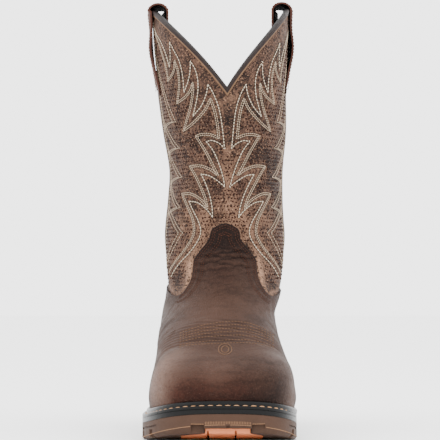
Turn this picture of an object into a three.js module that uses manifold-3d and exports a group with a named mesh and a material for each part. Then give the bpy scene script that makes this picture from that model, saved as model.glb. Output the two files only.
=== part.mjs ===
// A right western work boot with a wide square toe, a tall scalloped shaft and a lugged rubber sole.
// Millimetres, +Z up. The toe points along -Y and the inner (medial) side of the foot is +X.
// The origin is on the floor, below the middle of the boot.
// "Back" is a distance from the toe tip of the sole towards the heel.
import * as THREE from "three";
import { mergeVertices } from "three/addons/utils/BufferGeometryUtils.js";
import Module from "manifold-3d";

const wasm = await Module();
wasm.setup();

// Main sizes of the boot
const soleLength = 306;
const ballWidth = 117; // outsole, edge to edge
const toeSpring = 10.3; // height of the toe tip's underside
const heelRise = 23; // heel seat above the ball
const instepRise = 117; // top of the instep above the sole line
const collarHeight = 342.4; // side peaks of the shaft above the floor, on average
const shaftWidth = 113.3; // across the collar
const shaftDepth = 142; // front to back at the collar

// Leather
const wall = 2.4; // shaft and lining together
const overlay = 1.4; // vamp and counter leather
const gap = 0.3; // between two pieces that meet
const proud = gap + overlay; // outer face of an overlay above the upper
const chordRoom = 0.2; // for the flats between the stations of two curved pieces

// Collar
const frontScallop = 70;
const backScallop = 72;
const frontCurveInner = 1.78; // above 1 the dip's edge is hollow, at 1 it is straight
const frontCurveOuter = 1.58;
const backCurve = 1.1;
const collarTilt = 1.3; // the inner side stands higher, the outer side lower
const shaftTwist = 6; // degrees that the collar turns to the inner side
const bindingLeather = 0.8;
const bindingDrop = 3;

// Sole
const outsoleThickness = 12.4; // with its lugs
const outsolePlate = 6.4; // without them
const midsoleThickness = 3.2;
const weltThickness = 2.7;
const ribHeight = 3.6; // raised rim of the welt against the upper
const ribWidth = 2;
const insoleThickness = 4;
const flangeToe = 6; // what the welt stands out from the vamp
const flangeInner = 3.1;
const flangeOuter = 7;
const flangeHeel = 4.3;

// Tread
const grooveWidth = 5;
const treadBack = 160; // rear end of the forefoot tread
const toeBevel = 4;
const toeBevelHeight = 4.5;
const notchWidth = 9.5; // gaps beside the middle toe lug
const notchSpacing = 44.5;
const notchBack = 6.5; // how far back from the toe tip they reach
const dashHeight = 1.4; // slots along the side of the sole
const dashDepth = 1.1;
const pocketFront = 9;
const pocketNose = 15; // length over which the pocket widens
const pocketNoseWidth = 33;
const pocketBack = 141;
const pocketWidth = 61;
const insertPlate = 1.4;
const padSlot = 2.2; // between the coloured tread pads
const padRows = 6;
const padColumns = 3;

// Heel
const heelLength = 74;
const heelLiftThickness = 9;
const heelTaper = 2.5;
const heelPocketWidth = 40;
const heelPocketFront = 18; // behind the heel breast
const heelPocketBack = 16; // before the heel's back edge
const heelPadRows = 3;
const heelGroove = 4;
const heelLugDepth = 5;

// Pull straps and side seams
const strapWidth = 26;
const strapThickness = 2.4;
const strapLoopWidth = 17.8; // outside, across the loop
const strapRise = 6; // loop above the side peaks
const strapBow = 3.2;
const strapReach = 70; // seam of the outer end below the peaks
const strapSink = 1.6; // the loop's round part starts this far below the peak
const strapRoom = 0.35; // the strap is straighter than the shaft under it
const pipingWidth = 3.4;
const pipingHeight = 1;

// Worked out from the sizes above
const soleTopAtBall = outsoleThickness + gap + midsoleThickness;
const featherFront = flangeToe + proud;
const lastLength = soleLength - featherFront - flangeHeel - proud;
const lastHalf = (ballWidth - flangeInner - flangeOuter) / 2 - proud;
const featherCentre = (flangeOuter - flangeInner) / 2;
const heelTop = soleTopAtBall + heelRise;
const shaftRise = collarHeight - heelTop;
const springBack = 0.262 * soleLength; // where the toe spring starts
const archFront = 0.49 * soleLength;
const archBack = 0.768 * soleLength;
const heelBreast = soleLength - heelLength;
const toeSwing = 0.066 * lastHalf; // the toe leans to the inner side

const radians = (degrees) => (degrees * Math.PI) / 180;
const mix = (a, b, share) => a + (b - a) * share;
const clamp01 = (value) => Math.min(1, Math.max(0, value));
const smooth = (value) => {
  const t = clamp01(value);
  return t * t * (3 - 2 * t);
};

// Rows of numbers under named columns
const table = (columns, rows) =>
  rows.map((row) => Object.fromEntries(columns.map((name, i) => [name, row[i]])));

// Sections of the last from the feather line to the instep. rise is a share of instepRise above the
// sole line; front, back and widest are shares of lastLength from the feather line's front; half and
// centre are shares of lastHalf; toe and heel are the squareness of each end; waistIn and waistOut
// are how far the inner and outer side draw in at the waist.
const footRows = table(
  ["rise", "front", "back", "widest", "half", "centre", "toe", "heel", "waistIn", "waistOut"],
  [
    [0.0, 0.0, 1.0, 0.282, 1.0, 0.0, 3.0, 2.6, 0.36, 0.24],
    [0.06, -0.006, 1.004, 0.282, 1.028, 0.0, 3.0, 2.6, 0.33, 0.21],
    [0.132, -0.0075, 1.008, 0.285, 1.044, 0.0, 3.1, 2.6, 0.28, 0.17],
    [0.205, 0.0, 1.009, 0.292, 1.026, -0.002, 3.3, 2.6, 0.22, 0.13],
    [0.273, 0.024, 1.0075, 0.302, 0.999, 0.004, 3.6, 2.5, 0.17, 0.1],
    [0.342, 0.066, 1.003, 0.322, 0.957, 0.0, 3.8, 2.5, 0.12, 0.07],
    [0.41, 0.127, 0.997, 0.372, 0.915, -0.018, 3.7, 2.4, 0.08, 0.05],
    [0.483, 0.193, 0.99, 0.44, 0.893, -0.042, 3.0, 2.3, 0.05, 0.03],
    [0.561, 0.261, 0.982, 0.514, 0.868, -0.05, 2.5, 2.3, 0.02, 0.01],
    [0.65, 0.33, 0.974, 0.583, 0.825, -0.032, 2.3, 2.2, 0, 0],
    [0.752, 0.398, 0.9675, 0.644, 0.865, 0.036, 2.2, 2.2, 0, 0],
    [0.872, 0.4595, 0.963, 0.689, 0.915, 0.048, 2.15, 2.1, 0, 0],
    [1.0, 0.506, 0.9605, 0.723, 0.93, 0.05, 2.1, 2.1, 0, 0],
  ],
);

// Sections of the shaft. rise is a share of the way from the instep to the collar; back is a share of
// lastLength; depth is a share of shaftDepth; half and centre are shares of half the shaftWidth;
// follow is how much of the sole line's slope is left.
const shaftRows = table(
  ["rise", "back", "depth", "half", "centre", "follow"],
  [
    [0.075, 0.96, 0.879, 0.832, 0.045, 0.85],
    [0.171, 0.9617, 0.856, 0.809, 0.054, 0.6],
    [0.3, 0.9665, 0.861, 0.803, 0.065, 0.33],
    [0.465, 0.976, 0.891, 0.874, 0.043, 0.15],
    [0.642, 0.988, 0.933, 0.916, 0.005, 0],
    [0.821, 1.0, 0.972, 0.966, -0.011, 0],
    [1.0, 1.0103, 1.0, 0.991, -0.023, 0],
  ],
);

const shaftSquareness = 2.1;
const waistPlace = featherFront + 0.658 * lastLength;
const waistSpread = 0.185 * lastLength;
const kneeLevel = footRows.length; // first level of the shaft
const topLevel = footRows.length + shaftRows.length - 1;

const levels = [
  ...footRows.map((row) => ({
    rise: row.rise * instepRise,
    front: featherFront + row.front * lastLength,
    back: featherFront + row.back * lastLength,
    widest: featherFront + row.widest * lastLength,
    half: row.half * lastHalf,
    centre: featherCentre + row.centre * lastHalf,
    toe: row.toe,
    heel: row.heel,
    waistIn: row.waistIn,
    waistOut: row.waistOut,
    follow: 1,
  })),
  ...shaftRows.map((row) => {
    const back = featherFront + row.back * lastLength;
    const depth = row.depth * shaftDepth;
    return {
      rise: instepRise + row.rise * (shaftRise - instepRise),
      front: back - depth,
      back,
      widest: back - depth / 2,
      half: (row.half * shaftWidth) / 2,
      centre: featherCentre + (row.centre * shaftWidth) / 2,
      toe: shaftSquareness,
      heel: shaftSquareness,
      waistIn: 0,
      waistOut: 0,
      follow: row.follow,
    };
  }),
];

// Height of the sole line above the ball: toe spring, flat ball, arch and level heel seat.
function soleRise(back) {
  const spring = toeSpring * Math.max(0, 1 - back / springBack) ** 2;
  return spring + heelRise * smooth((back - archFront) / (archBack - archFront));
}

const soleTop = (back) => soleTopAtBall + soleRise(back);

// The section at a level that need not be whole, on a smooth curve through the rows.
function sectionAt(level) {
  const low = Math.min(topLevel - 1, Math.max(0, Math.floor(level)));
  const t = level - low;
  const section = {};
  for (const column of Object.keys(levels[0])) {
    const b = levels[low][column];
    const c = levels[low + 1][column];
    const a = low > 0 ? levels[low - 1][column] : 2 * b - c;
    const d = low + 1 < topLevel ? levels[low + 2][column] : 2 * c - b;
    const curve = -a + 3 * b - 3 * c + d;
    section[column] = b + 0.5 * t * (c - a + t * (2 * a - 5 * b + 4 * c - d + t * curve));
  }
  return section;
}

// A point on the upper's outer face. turn is in degrees round the leg: 0 at the front, 90 at the
// inner side, 180 at the back and -90 at the outer side.
function lastPoint(turn, level) {
  const row = sectionAt(level);
  const twist = shaftTwist * smooth((level - kneeLevel) / (topLevel - kneeLevel));
  const angle = radians(turn + twist);
  const side = Math.sin(angle);
  const ahead = Math.cos(angle);
  const power = mix(row.heel, row.toe, (1 + ahead) / 2);
  const size = (Math.abs(side) ** power + Math.abs(ahead) ** power) ** (1 / power);
  const reach = ahead > 0 ? row.widest - row.front : row.back - row.widest;
  const back = row.widest - (reach * ahead) / size;
  const pull = Math.exp(-(((back - waistPlace) / waistSpread) ** 2));
  const waist = 1 - (side > 0 ? row.waistIn : row.waistOut) * pull;
  const ball = sectionAt(0).widest;
  const swing = toeSwing * Math.max(0, 1 - back / ball) ** 2;
  const x = row.centre + swing + ((row.half * side) / size) * waist;
  const z = row.rise + row.follow * soleTop(back) + (1 - row.follow) * heelTop;
  return new THREE.Vector3(x, back - soleLength / 2, z);
}

// How far a piece is inside the arch's slope, where every layer keeps the same stations.
function archShare(back) {
  const ease = 0.1 * soleLength;
  return smooth((back - archFront + ease) / ease) * smooth((archBack + ease - back) / ease);
}

// The direction out of the upper. Close to the sole the wall stands square on it.
function wallNormal(turn, level) {
  const step = 0.02;
  const along = lastPoint(turn + 50 * step, level).sub(lastPoint(turn - 50 * step, level));
  const up = lastPoint(turn, level + step).sub(lastPoint(turn, level < step ? level : level - step));
  const normal = along.cross(up).normalize();
  const free = smooth(level / 2);
  const back = lastPoint(turn, level).y + soleLength / 2;
  normal.z *= free;
  normal.y *= 1 - archShare(back) * (1 - free);
  return normal.normalize();
}

function wallPoint(turn, level, distance) {
  return lastPoint(turn, level).addScaledVector(wallNormal(turn, level), distance);
}

// The level at which the upper reaches a height.
function levelAtHeight(turn, height) {
  let low = 0;
  let high = topLevel + 0.6;
  for (let step = 0; step < 40; step++) {
    const middle = (low + high) / 2;
    if (lastPoint(turn, middle).z < height) low = middle;
    else high = middle;
  }
  return (low + high) / 2;
}

// The turn at which a level passes a distance back from the toe tip, on one side of the boot.
function turnAtBack(back, level, side) {
  let low = 0;
  let high = 180;
  for (let step = 0; step < 40; step++) {
    const middle = (low + high) / 2;
    if (lastPoint(side * middle, level).y + soleLength / 2 < back) low = middle;
    else high = middle;
  }
  return (side * (low + high)) / 2;
}

// Height of the collar: a sharp dip at the front and at the back, and side peaks.
function collarAt(turn) {
  const wrapped = ((turn + 540) % 360) - 180;
  const away = Math.abs(wrapped);
  const curve = wrapped > 0 ? frontCurveInner : frontCurveOuter;
  const front = frontScallop * Math.max(0, 1 - away / 90) ** curve;
  const back = backScallop * Math.max(0, away / 90 - 1) ** backCurve;
  const tilt = collarTilt * Math.sin(radians(wrapped));
  return collarHeight + tilt - Math.max(front, back);
}

// Columns of the upper: even round the shaft, and closer together along the waist of the foot.
const frontColumns = 11;
const rearColumns = 12;
const columnCount = 2 * (frontColumns + rearColumns);

function columnTurn(index, level) {
  const wrapped = ((index % columnCount) + columnCount) % columnCount;
  const side = wrapped <= columnCount / 2 ? 1 : -1;
  const place = side > 0 ? wrapped : columnCount - wrapped;
  if (place <= frontColumns) return (side * 90 * place) / frontColumns;
  const share = (place - frontColumns) / rearColumns;
  const even = 90 * share;
  const waist = THREE.MathUtils.radToDeg(
    Math.asin(Math.min(1, 0.55 * share + 0.45 * Math.sin(radians(even)))),
  );
  return side * (90 + mix(waist, even, smooth(level / 8)));
}

// A closed solid from triangles given as points.
class Faces {
  constructor() {
    this.numbers = [];
  }
  triangle(a, b, c) {
    for (const p of [a, b, c]) this.numbers.push(p.x, p.y, p.z);
  }
  quad(a, b, c, d) {
    this.triangle(a, b, c);
    this.triangle(a, c, d);
  }
  solid() {
    const geometry = new THREE.BufferGeometry();
    geometry.setAttribute("position", new THREE.Float32BufferAttribute(this.numbers, 3));
    const merged = mergeVertices(geometry, 1e-4);
    return dropThinFaces(merged);
  }
}

// Removes triangles of which two corners became one point.
function dropThinFaces(geometry) {
  const kept = [];
  const index = geometry.index.array;
  for (let i = 0; i < index.length; i += 3) {
    const [a, b, c] = [index[i], index[i + 1], index[i + 2]];
    if (a !== b && b !== c && c !== a) kept.push(a, b, c);
  }
  geometry.setIndex(kept);
  return geometry;
}

// A wall between an outer and an inner grid of points; closed when it runs right round the leg.
function wallSolid(columns, rows, outerAt, innerAt, closed) {
  const grid = (pointAt) =>
    Array.from({ length: columns + 1 }, (_, i) =>
      Array.from({ length: rows + 1 }, (_, j) => pointAt(i, j)),
    );
  const outer = grid(outerAt);
  const inner = grid(innerAt);
  if (closed) {
    outer[columns] = outer[0];
    inner[columns] = inner[0];
  }
  const faces = new Faces();
  for (let i = 0; i < columns; i++) {
    for (let j = 0; j < rows; j++) {
      faces.quad(outer[i][j], outer[i + 1][j], outer[i + 1][j + 1], outer[i][j + 1]);
      faces.quad(inner[i][j], inner[i][j + 1], inner[i + 1][j + 1], inner[i + 1][j]);
    }
    faces.quad(outer[i + 1][0], outer[i][0], inner[i][0], inner[i + 1][0]);
    faces.quad(outer[i][rows], outer[i + 1][rows], inner[i + 1][rows], inner[i][rows]);
  }
  for (let j = 0; !closed && j < rows; j++) {
    const end = columns;
    faces.quad(outer[0][j], outer[0][j + 1], inner[0][j + 1], inner[0][j]);
    faces.quad(outer[end][j + 1], outer[end][j], inner[end][j], inner[end][j + 1]);
  }
  return faces.solid();
}

// A ring or an open bar swept through sections. Each section runs up its outer side, in over the
// top, down the inner side and out along the bottom.
function sweepSolid(sections, closed) {
  const faces = new Faces();
  const count = sections.length;
  const size = sections[0].length;
  for (let i = 0; i < (closed ? count : count - 1); i++) {
    const here = sections[i];
    const next = sections[(i + 1) % count];
    for (let k = 0; k < size; k++) {
      const m = (k + 1) % size;
      faces.quad(here[k], next[k], next[m], here[m]);
    }
  }
  if (!closed) {
    for (let k = 1; k < size - 1; k++) {
      faces.triangle(sections[0][0], sections[0][k], sections[0][k + 1]);
      const last = sections[count - 1];
      faces.triangle(last[0], last[k + 1], last[k]);
    }
  }
  return faces.solid();
}

// A slab between rings of points that run round the foot, lowest ring first. The caps are strips
// from one side of the foot to the other.
function slabSolid(rings) {
  const faces = new Faces();
  const count = rings[0].length;
  for (let r = 0; r < rings.length - 1; r++) {
    for (let i = 0; i < count; i++) {
      const n = (i + 1) % count;
      faces.quad(rings[r][i], rings[r][n], rings[r + 1][n], rings[r + 1][i]);
    }
  }
  const top = rings[rings.length - 1];
  const bottom = rings[0];
  const half = count / 2;
  for (let i = 0; i < half; i++) {
    const other = (count - i) % count;
    const otherNext = count - i - 1;
    faces.quad(top[i], top[i + 1], top[otherNext], top[other]);
    faces.quad(bottom[i + 1], bottom[i], bottom[other], bottom[otherNext]);
  }
  return faces.solid();
}

// Conversions to and from the library that joins and cuts solids
function toManifold(geometry) {
  const bare = new THREE.BufferGeometry();
  bare.setAttribute("position", geometry.getAttribute("position"));
  if (geometry.index) bare.setIndex(geometry.index);
  const merged = dropThinFaces(mergeVertices(bare, 1e-4));
  return new wasm.Manifold(
    new wasm.Mesh({
      numProp: 3,
      vertProperties: new Float32Array(merged.attributes.position.array),
      triVerts: new Uint32Array(merged.index.array),
    }),
  );
}

function toGeometry(solid) {
  const sliver = 0.05; // flats thinner than this, left by cutting, are dropped
  const mesh = solid.simplify(sliver).getMesh();
  const geometry = new THREE.BufferGeometry();
  const position = new THREE.BufferAttribute(new Float32Array(mesh.vertProperties), 3);
  geometry.setAttribute("position", position);
  geometry.setIndex(new THREE.BufferAttribute(new Uint32Array(mesh.triVerts), 1));
  return geometry;
}

// A block given by its middle across the boot, its distances back, its heights and a turn in degrees.
function block(x, width, backFrom, backTo, low, high, turn = 0) {
  const geometry = new THREE.BoxGeometry(width, backTo - backFrom, high - low);
  geometry.rotateZ(radians(turn));
  geometry.translate(x, (backFrom + backTo) / 2 - soleLength / 2, (low + high) / 2);
  return toManifold(geometry);
}

// A ring of points round the foot, outside (or inside) the feather line, at a height over a profile.
function soleRing(offsetAt, heightAt) {
  return Array.from({ length: columnCount }, (_, i) => {
    const turn = columnTurn(i, 0);
    const point = wallPoint(turn, 0, offsetAt(turn));
    point.z = heightAt(point.y + soleLength / 2, turn);
    return point;
  });
}

// Distance from the upper to the sole's edge.
function edgeOffset(turn) {
  const side = Math.sin(radians(turn));
  const ahead = Math.cos(radians(turn));
  const flangeSide = side > 0 ? flangeInner : flangeOuter;
  const flangeEnd = ahead > 0 ? flangeToe : flangeHeel;
  return proud + mix(flangeEnd, flangeSide, side * side);
}

const outsoleTop = (back) => outsoleThickness + soleRise(back);
const plateBottom = (back) => outsoleTop(back) - outsolePlate;

// The grid of the upper. Overlays use the same grid, so that their flats lie over its flats.
const shaftSteps = 6;
const gridRows = kneeLevel + shaftSteps;
const gridTops = Array.from({ length: columnCount }, (_, i) => {
  const turn = columnTurn(i, topLevel);
  return levelAtHeight(turn, collarAt(turn));
});

function gridPoint(column, row, distance) {
  const top = gridTops[(column + columnCount) % columnCount];
  const level = row <= kneeLevel ? row : mix(kneeLevel, top, (row - kneeLevel) / shaftSteps);
  const point = wallPoint(columnTurn(column, level), level, distance);
  if (row === 0) point.z = soleTop(point.y + soleLength / 2) + gap;
  return point;
}

// Upper: one hollow wall, open at the collar and under the foot
function makeUpper() {
  const pointOn = (distance) => (i, j) => gridPoint(i % columnCount, j, distance);
  return wallSolid(columnCount, gridRows, pointOn(0), pointOn(-wall), true);
}

// A leather layer over the upper, between two columns of its grid
function overlayShell(firstColumn, lastColumn, rows) {
  const pointOn = (distance) => (i, j) => gridPoint(firstColumn + i, j, distance);
  const count = lastColumn - firstColumn;
  return toManifold(wallSolid(count, rows, pointOn(proud), pointOn(gap), false));
}

// A thick patch that passes through the overlays, to cut them with
function cutterPatch(columns, rows, placeAt) {
  const depth = 5;
  const pointOn = (distance) => (i, j) => {
    const { turn, level } = placeAt(i, j);
    return wallPoint(turn, level, distance);
  };
  return toManifold(wallSolid(columns, rows, pointOn(depth), pointOn(-depth), false));
}

// Top edge of the vamp from the middle to the side seam: a peaked tongue, steep sides, a low scoop
// and a wing that climbs to the seam. turn is in degrees from the front, height a
// share of the tongue's height.
const tongueHeight = 165;
const vampEdge = table(
  ["turn", "height"],
  [
    [0, 1],
    [6.4, 0.99],
    [12.2, 0.974],
    [13.9, 0.955],
    [14.4, 0.923],
    [18.4, 0.896],
    [22.4, 0.871],
    [26, 0.847],
    [29.4, 0.823],
    [30.2, 0.8],
    [30.4, 0.779],
    [31, 0.752],
    [32.6, 0.724],
    [36, 0.695],
    [41.2, 0.668],
    [46.4, 0.651],
    [52.4, 0.644],
    [59, 0.652],
    [67, 0.668],
    [77, 0.69],
    [90, 0.71],
  ],
);
const seamColumn = frontColumns + rearColumns / 2; // the side seams' foot
const seamRoom = 0.25; // degrees between the seam and each overlay
const wingHeight = vampEdge[vampEdge.length - 1].height * tongueHeight;
const counterPeak = 0.79; // back of the counter, as a share of the tongue's height
const seamFoot = lastPoint(columnTurn(seamColumn, 0), 0).y + soleLength / 2;

// Turn of the side seam at a level, without its sign.
function seamTurn(level, side) {
  if (level >= kneeLevel) return 90;
  const place = mix(seamFoot, levels[kneeLevel].widest, smooth(level / kneeLevel));
  return Math.abs(turnAtBack(place, Math.max(0, level), side));
}

const cutTop = kneeLevel + 4; // above every overlay

// A cutter for all of the upper behind the side seams
function behindSeams(clearance) {
  const columns = 12;
  const rows = 18;
  return cutterPatch(columns, rows, (i, j) => {
    const level = mix(-1, cutTop, j / rows);
    const side = i <= columns / 2 ? 1 : -1;
    const share = 1 - Math.abs((2 * i) / columns - 1);
    const seam = seamTurn(level, side) + clearance;
    return { turn: side * mix(seam, 180, share), level };
  });
}

// Vamp: from one side seam over the toe to the other
function makeVamp() {
  const edge = [];
  for (const row of [...vampEdge].reverse()) edge.push({ ...row, side: -1 });
  for (const row of vampEdge.slice(1)) edge.push({ ...row, side: 1 });
  for (const row of edge) row.level = levelAtHeight(row.side * row.turn, row.height * tongueHeight);
  const beyond = { turn: 120, level: edge[0].level };
  edge.unshift({ ...beyond, side: -1 });
  edge.push({ ...beyond, side: 1 });
  const rows = 8;
  const above = cutterPatch(edge.length - 1, rows, (i, j) => ({
    turn: edge[i].side * edge[i].turn,
    level: mix(edge[i].level, cutTop, j / rows),
  }));
  const last = seamColumn + 1;
  const shell = overlayShell(-last, last, kneeLevel + 2);
  return toGeometry(shell.subtract(above).subtract(behindSeams(-seamRoom)));
}

// Counter: round the heel from one side seam to the other, with a soft peak at the back
function makeCounter() {
  const columns = 24;
  const rows = 6;
  const above = cutterPatch(columns, rows, (i, j) => {
    const across = (2 * i) / columns - 1;
    const share = 1 - Math.abs(across); // 0 at the seams, 1 at the back
    const side = i <= columns / 2 ? 1 : -1;
    const turn = side * mix(70, 180, share);
    const height = mix(wingHeight, counterPeak * tongueHeight, smooth(share * 1.6 - 0.6));
    return { turn, level: mix(levelAtHeight(turn, height), cutTop, j / rows) };
  });
  const shell = overlayShell(frontColumns - 1, columnCount - frontColumns + 1, kneeLevel + 1);
  return toGeometry(shell.subtract(above).intersect(behindSeams(seamRoom)));
}

// Binding: a folded strip over the collar's edge
function makeBinding() {
  const rim = Array.from({ length: columnCount }, (_, i) => {
    const turn = columnTurn(i, topLevel);
    const level = levelAtHeight(turn, collarAt(turn));
    return { point: lastPoint(turn, level), normal: wallNormal(turn, level) };
  });
  const sections = rim.map(({ point, normal }, i) => {
    const before = rim[(i + columnCount - 1) % columnCount].point;
    const after = rim[(i + 1) % columnCount].point;
    const inward = point.clone().sub(before).normalize();
    const outward = after.clone().sub(point).normalize();
    const along = inward.clone().add(outward).normalize();
    const rise = normal.clone().cross(along).normalize();
    const mitre = 1 / Math.max(0.55, along.dot(outward));
    const at = (distance, height) =>
      point.clone().addScaledVector(normal, distance).addScaledVector(rise, height * mitre);
    const inside = -wall - gap;
    const fold = bindingLeather;
    return [
      at(gap + fold, -bindingDrop),
      at(gap + fold, gap + fold * 0.7),
      at(inside - fold, gap + fold * 0.7),
      at(inside - fold, -bindingDrop),
      at(inside, -bindingDrop),
      at(inside, gap),
      at(gap, gap),
      at(gap, -bindingDrop),
    ];
  });
  return bindingSolid(sections);
}

// The binding's section isn't convex, but swept as a closed ring it needs no end caps.
function bindingSolid(sections) {
  const solid = toManifold(sweepSolid(sections, true));
  return toGeometry(solid);
}

// Pull strap: a band sewn to the outside and the inside of the shaft, in a loop over the collar
function makeStrap(side) {
  const rimTurn = side * 90;
  const seat = gap + strapRoom + strapThickness / 2;
  const peak = collarAt(rimTurn);
  const rimLevel = levelAtHeight(rimTurn, peak);
  const rim = lastPoint(rimTurn, rimLevel);
  const clearRim = gap + bindingLeather + seat + 0.15;
  const legGap = strapLoopWidth - strapThickness;
  const archRadius = legGap / 2;
  const archHeight = peak - strapSink;
  const archRise = peak + strapRise - strapThickness / 2 - archHeight;
  const outerFoot = peak - strapReach;
  const innerFoot = outerFoot + 8;
  const outAt = (height, y) => {
    const level = levelAtHeight(rimTurn, height);
    const turn = turnAtBack(y + soleLength / 2, level, side);
    return side * lastPoint(turn, level).x;
  };
  // distance: out from the shaft's face at that height
  const outerLeg = [0, 0.12, 0.3, 0.5, 0.7, 0.86, 1].map((share) => {
    const height = mix(outerFoot, archHeight, share);
    const bow = strapBow * Math.sin(Math.PI * smooth((share - 0.1) / 0.9)) + seat;
    return { height, distance: mix(bow, clearRim, smooth((share - 0.55) / 0.45)) };
  });
  const archTop = side * rim.x + clearRim;
  const arch = [22, 44, 66, 90, 114, 136, 158].map((degrees) => ({
    height: archHeight + archRise * Math.sin(radians(degrees)),
    out: archTop - archRadius + archRadius * Math.cos(radians(degrees)),
  }));
  const innerSeat = -(wall + seat);
  const innerLeg = [0, 0.2, 0.4, 0.6, 0.8, 1].map((share) => {
    const height = mix(archHeight, innerFoot, share);
    const hang = archTop - legGap;
    return { height, hang, sewn: smooth((share - 0.3) / 0.5) };
  });
  const acrossSteps = 3;
  const path = [...outerLeg, ...arch, ...innerLeg];
  const lineAt = (across) => {
    const y = rim.y + (across - 0.5) * strapWidth;
    return path.map((place) => {
      if (place.out !== undefined) return new THREE.Vector2(place.out, place.height);
      const face = outAt(place.height, y);
      if (place.hang === undefined) return new THREE.Vector2(face + place.distance, place.height);
      return new THREE.Vector2(mix(place.hang, face + innerSeat, place.sewn), place.height);
    });
  };
  const lines = Array.from({ length: acrossSteps + 1 }, (_, k) => {
    const points = lineAt(k / acrossSteps);
    const y = rim.y + (k / acrossSteps - 0.5) * strapWidth;
    return points.map((point, i) => {
      const before = points[Math.max(0, i - 1)];
      const after = points[Math.min(points.length - 1, i + 1)];
      const along = after.clone().sub(before).normalize();
      const half = new THREE.Vector2(along.y, -along.x).multiplyScalar(strapThickness / 2);
      const place = (p) => new THREE.Vector3(side * p.x, y, p.y);
      return { outer: place(point.clone().add(half)), inner: place(point.clone().sub(half)) };
    });
  });
  const ordered = side > 0 ? lines : [...lines].reverse();
  const at = (face) => (k, i) => ordered[k][i][face];
  return wallSolid(acrossSteps, path.length - 1, at("outer"), at("inner"), false);
}

// Piping: a raised bead up the side seam, from the vamp's wing to the strap's lower end
function makePiping(side) {
  const low = wingHeight + 1.5;
  const high = collarHeight - strapReach - 1.5;
  const steps = 10;
  const sections = Array.from({ length: steps + 1 }, (_, j) => {
    const height = mix(low, high, j / steps);
    const level = levelAtHeight(side * 90, height);
    const seam = side * seamTurn(level, side);
    const point = lastPoint(seam, level);
    const normal = wallNormal(seam, level);
    const across = new THREE.Vector3(0, 1, 0);
    const at = (y, out) => {
      const moved = point.clone().addScaledVector(across, y);
      const sink = (y * y) / shaftDepth;
      return moved.addScaledVector(normal, out - sink);
    };
    const half = pipingWidth / 2;
    const seat = gap + chordRoom;
    const ring = [
      at(-half, seat),
      at(half, seat),
      at(half * 0.8, seat + pipingHeight * 0.7),
      at(0, seat + pipingHeight),
      at(-half * 0.8, seat + pipingHeight * 0.7),
    ];
    return side > 0 ? ring : ring.reverse();
  });
  return sweepSolid(sections, false);
}

// Insole: lies inside the upper on the midsole
function makeInsole() {
  const inset = () => -(wall + gap + 0.2);
  return slabSolid([
    soleRing(inset, (back) => soleTop(back) + gap),
    soleRing(inset, (back) => soleTop(back) + gap + insoleThickness),
  ]);
}

// Welt: a flat rim that carries the sole stitching, with a raised rib against the upper
function makeWelt() {
  const ribLevel = (ribHeight + weltThickness) / (footRows[1].rise * instepRise);
  const sections = Array.from({ length: columnCount }, (_, i) => {
    const turn = columnTurn(i, 0);
    const clear = proud + gap + chordRoom;
    const foot = wallPoint(turn, 0, clear);
    const head = wallPoint(columnTurn(i, ribLevel), ribLevel, clear);
    const edge = edgeOffset(turn);
    const ring = (offset, height) => {
      const point = wallPoint(turn, 0, offset);
      point.z = soleTop(point.y + soleLength / 2) + height;
      return point;
    };
    const ribFoot = Math.min(edge - 0.6, clear + ribWidth + 0.7);
    const ribTop = head.clone().lerp(ring(clear + ribWidth + 0.7, 0), 0.45);
    foot.z = soleTop(foot.y + soleLength / 2) + gap;
    head.z = soleTop(head.y + soleLength / 2) + gap + weltThickness + ribHeight;
    ribTop.z = head.z - 0.5;
    return [
      ring(edge, gap),
      ring(edge, gap + weltThickness),
      ring(ribFoot, gap + weltThickness + 0.2),
      ribTop,
      head,
      foot,
    ];
  });
  return sweepSolid(sections, true);
}

function makeMidsole() {
  return slabSolid([
    soleRing(edgeOffset, (back) => outsoleTop(back) + gap),
    soleRing(edgeOffset, soleTop),
  ]);
}

// A band along the sole's edge, between two turns, that cuts a slot into the side
function edgeSlot(turnFrom, turnTo, share) {
  const steps = 5;
  const first = Math.min(turnFrom, turnTo);
  const last = Math.max(turnFrom, turnTo);
  const sections = Array.from({ length: steps + 1 }, (_, i) => {
    const turn = mix(first, last, i / steps);
    const ring = (offset, height) => {
      const point = wallPoint(turn, 0, offset);
      point.z = outsoleTop(point.y + soleLength / 2) - outsoleThickness * share + height;
      return point;
    };
    const edge = edgeOffset(turn);
    return [
      ring(edge + 1, -dashHeight / 2),
      ring(edge + 1, dashHeight / 2),
      ring(edge - dashDepth, dashHeight / 2),
      ring(edge - dashDepth, -dashHeight / 2),
    ];
  });
  return toManifold(sweepSolid(sections, false));
}

const toeCentre = featherCentre + 1.3 * toeSwing;
const padPitch = (pocketBack - pocketFront) / padRows;
const sideGrooves = [1.1, 2.1, 3.1, 4.1, 5.1, 6.1].map((row) => pocketFront + row * padPitch);
const overcut = 12; // how far a cutter passes beyond the rubber

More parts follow.
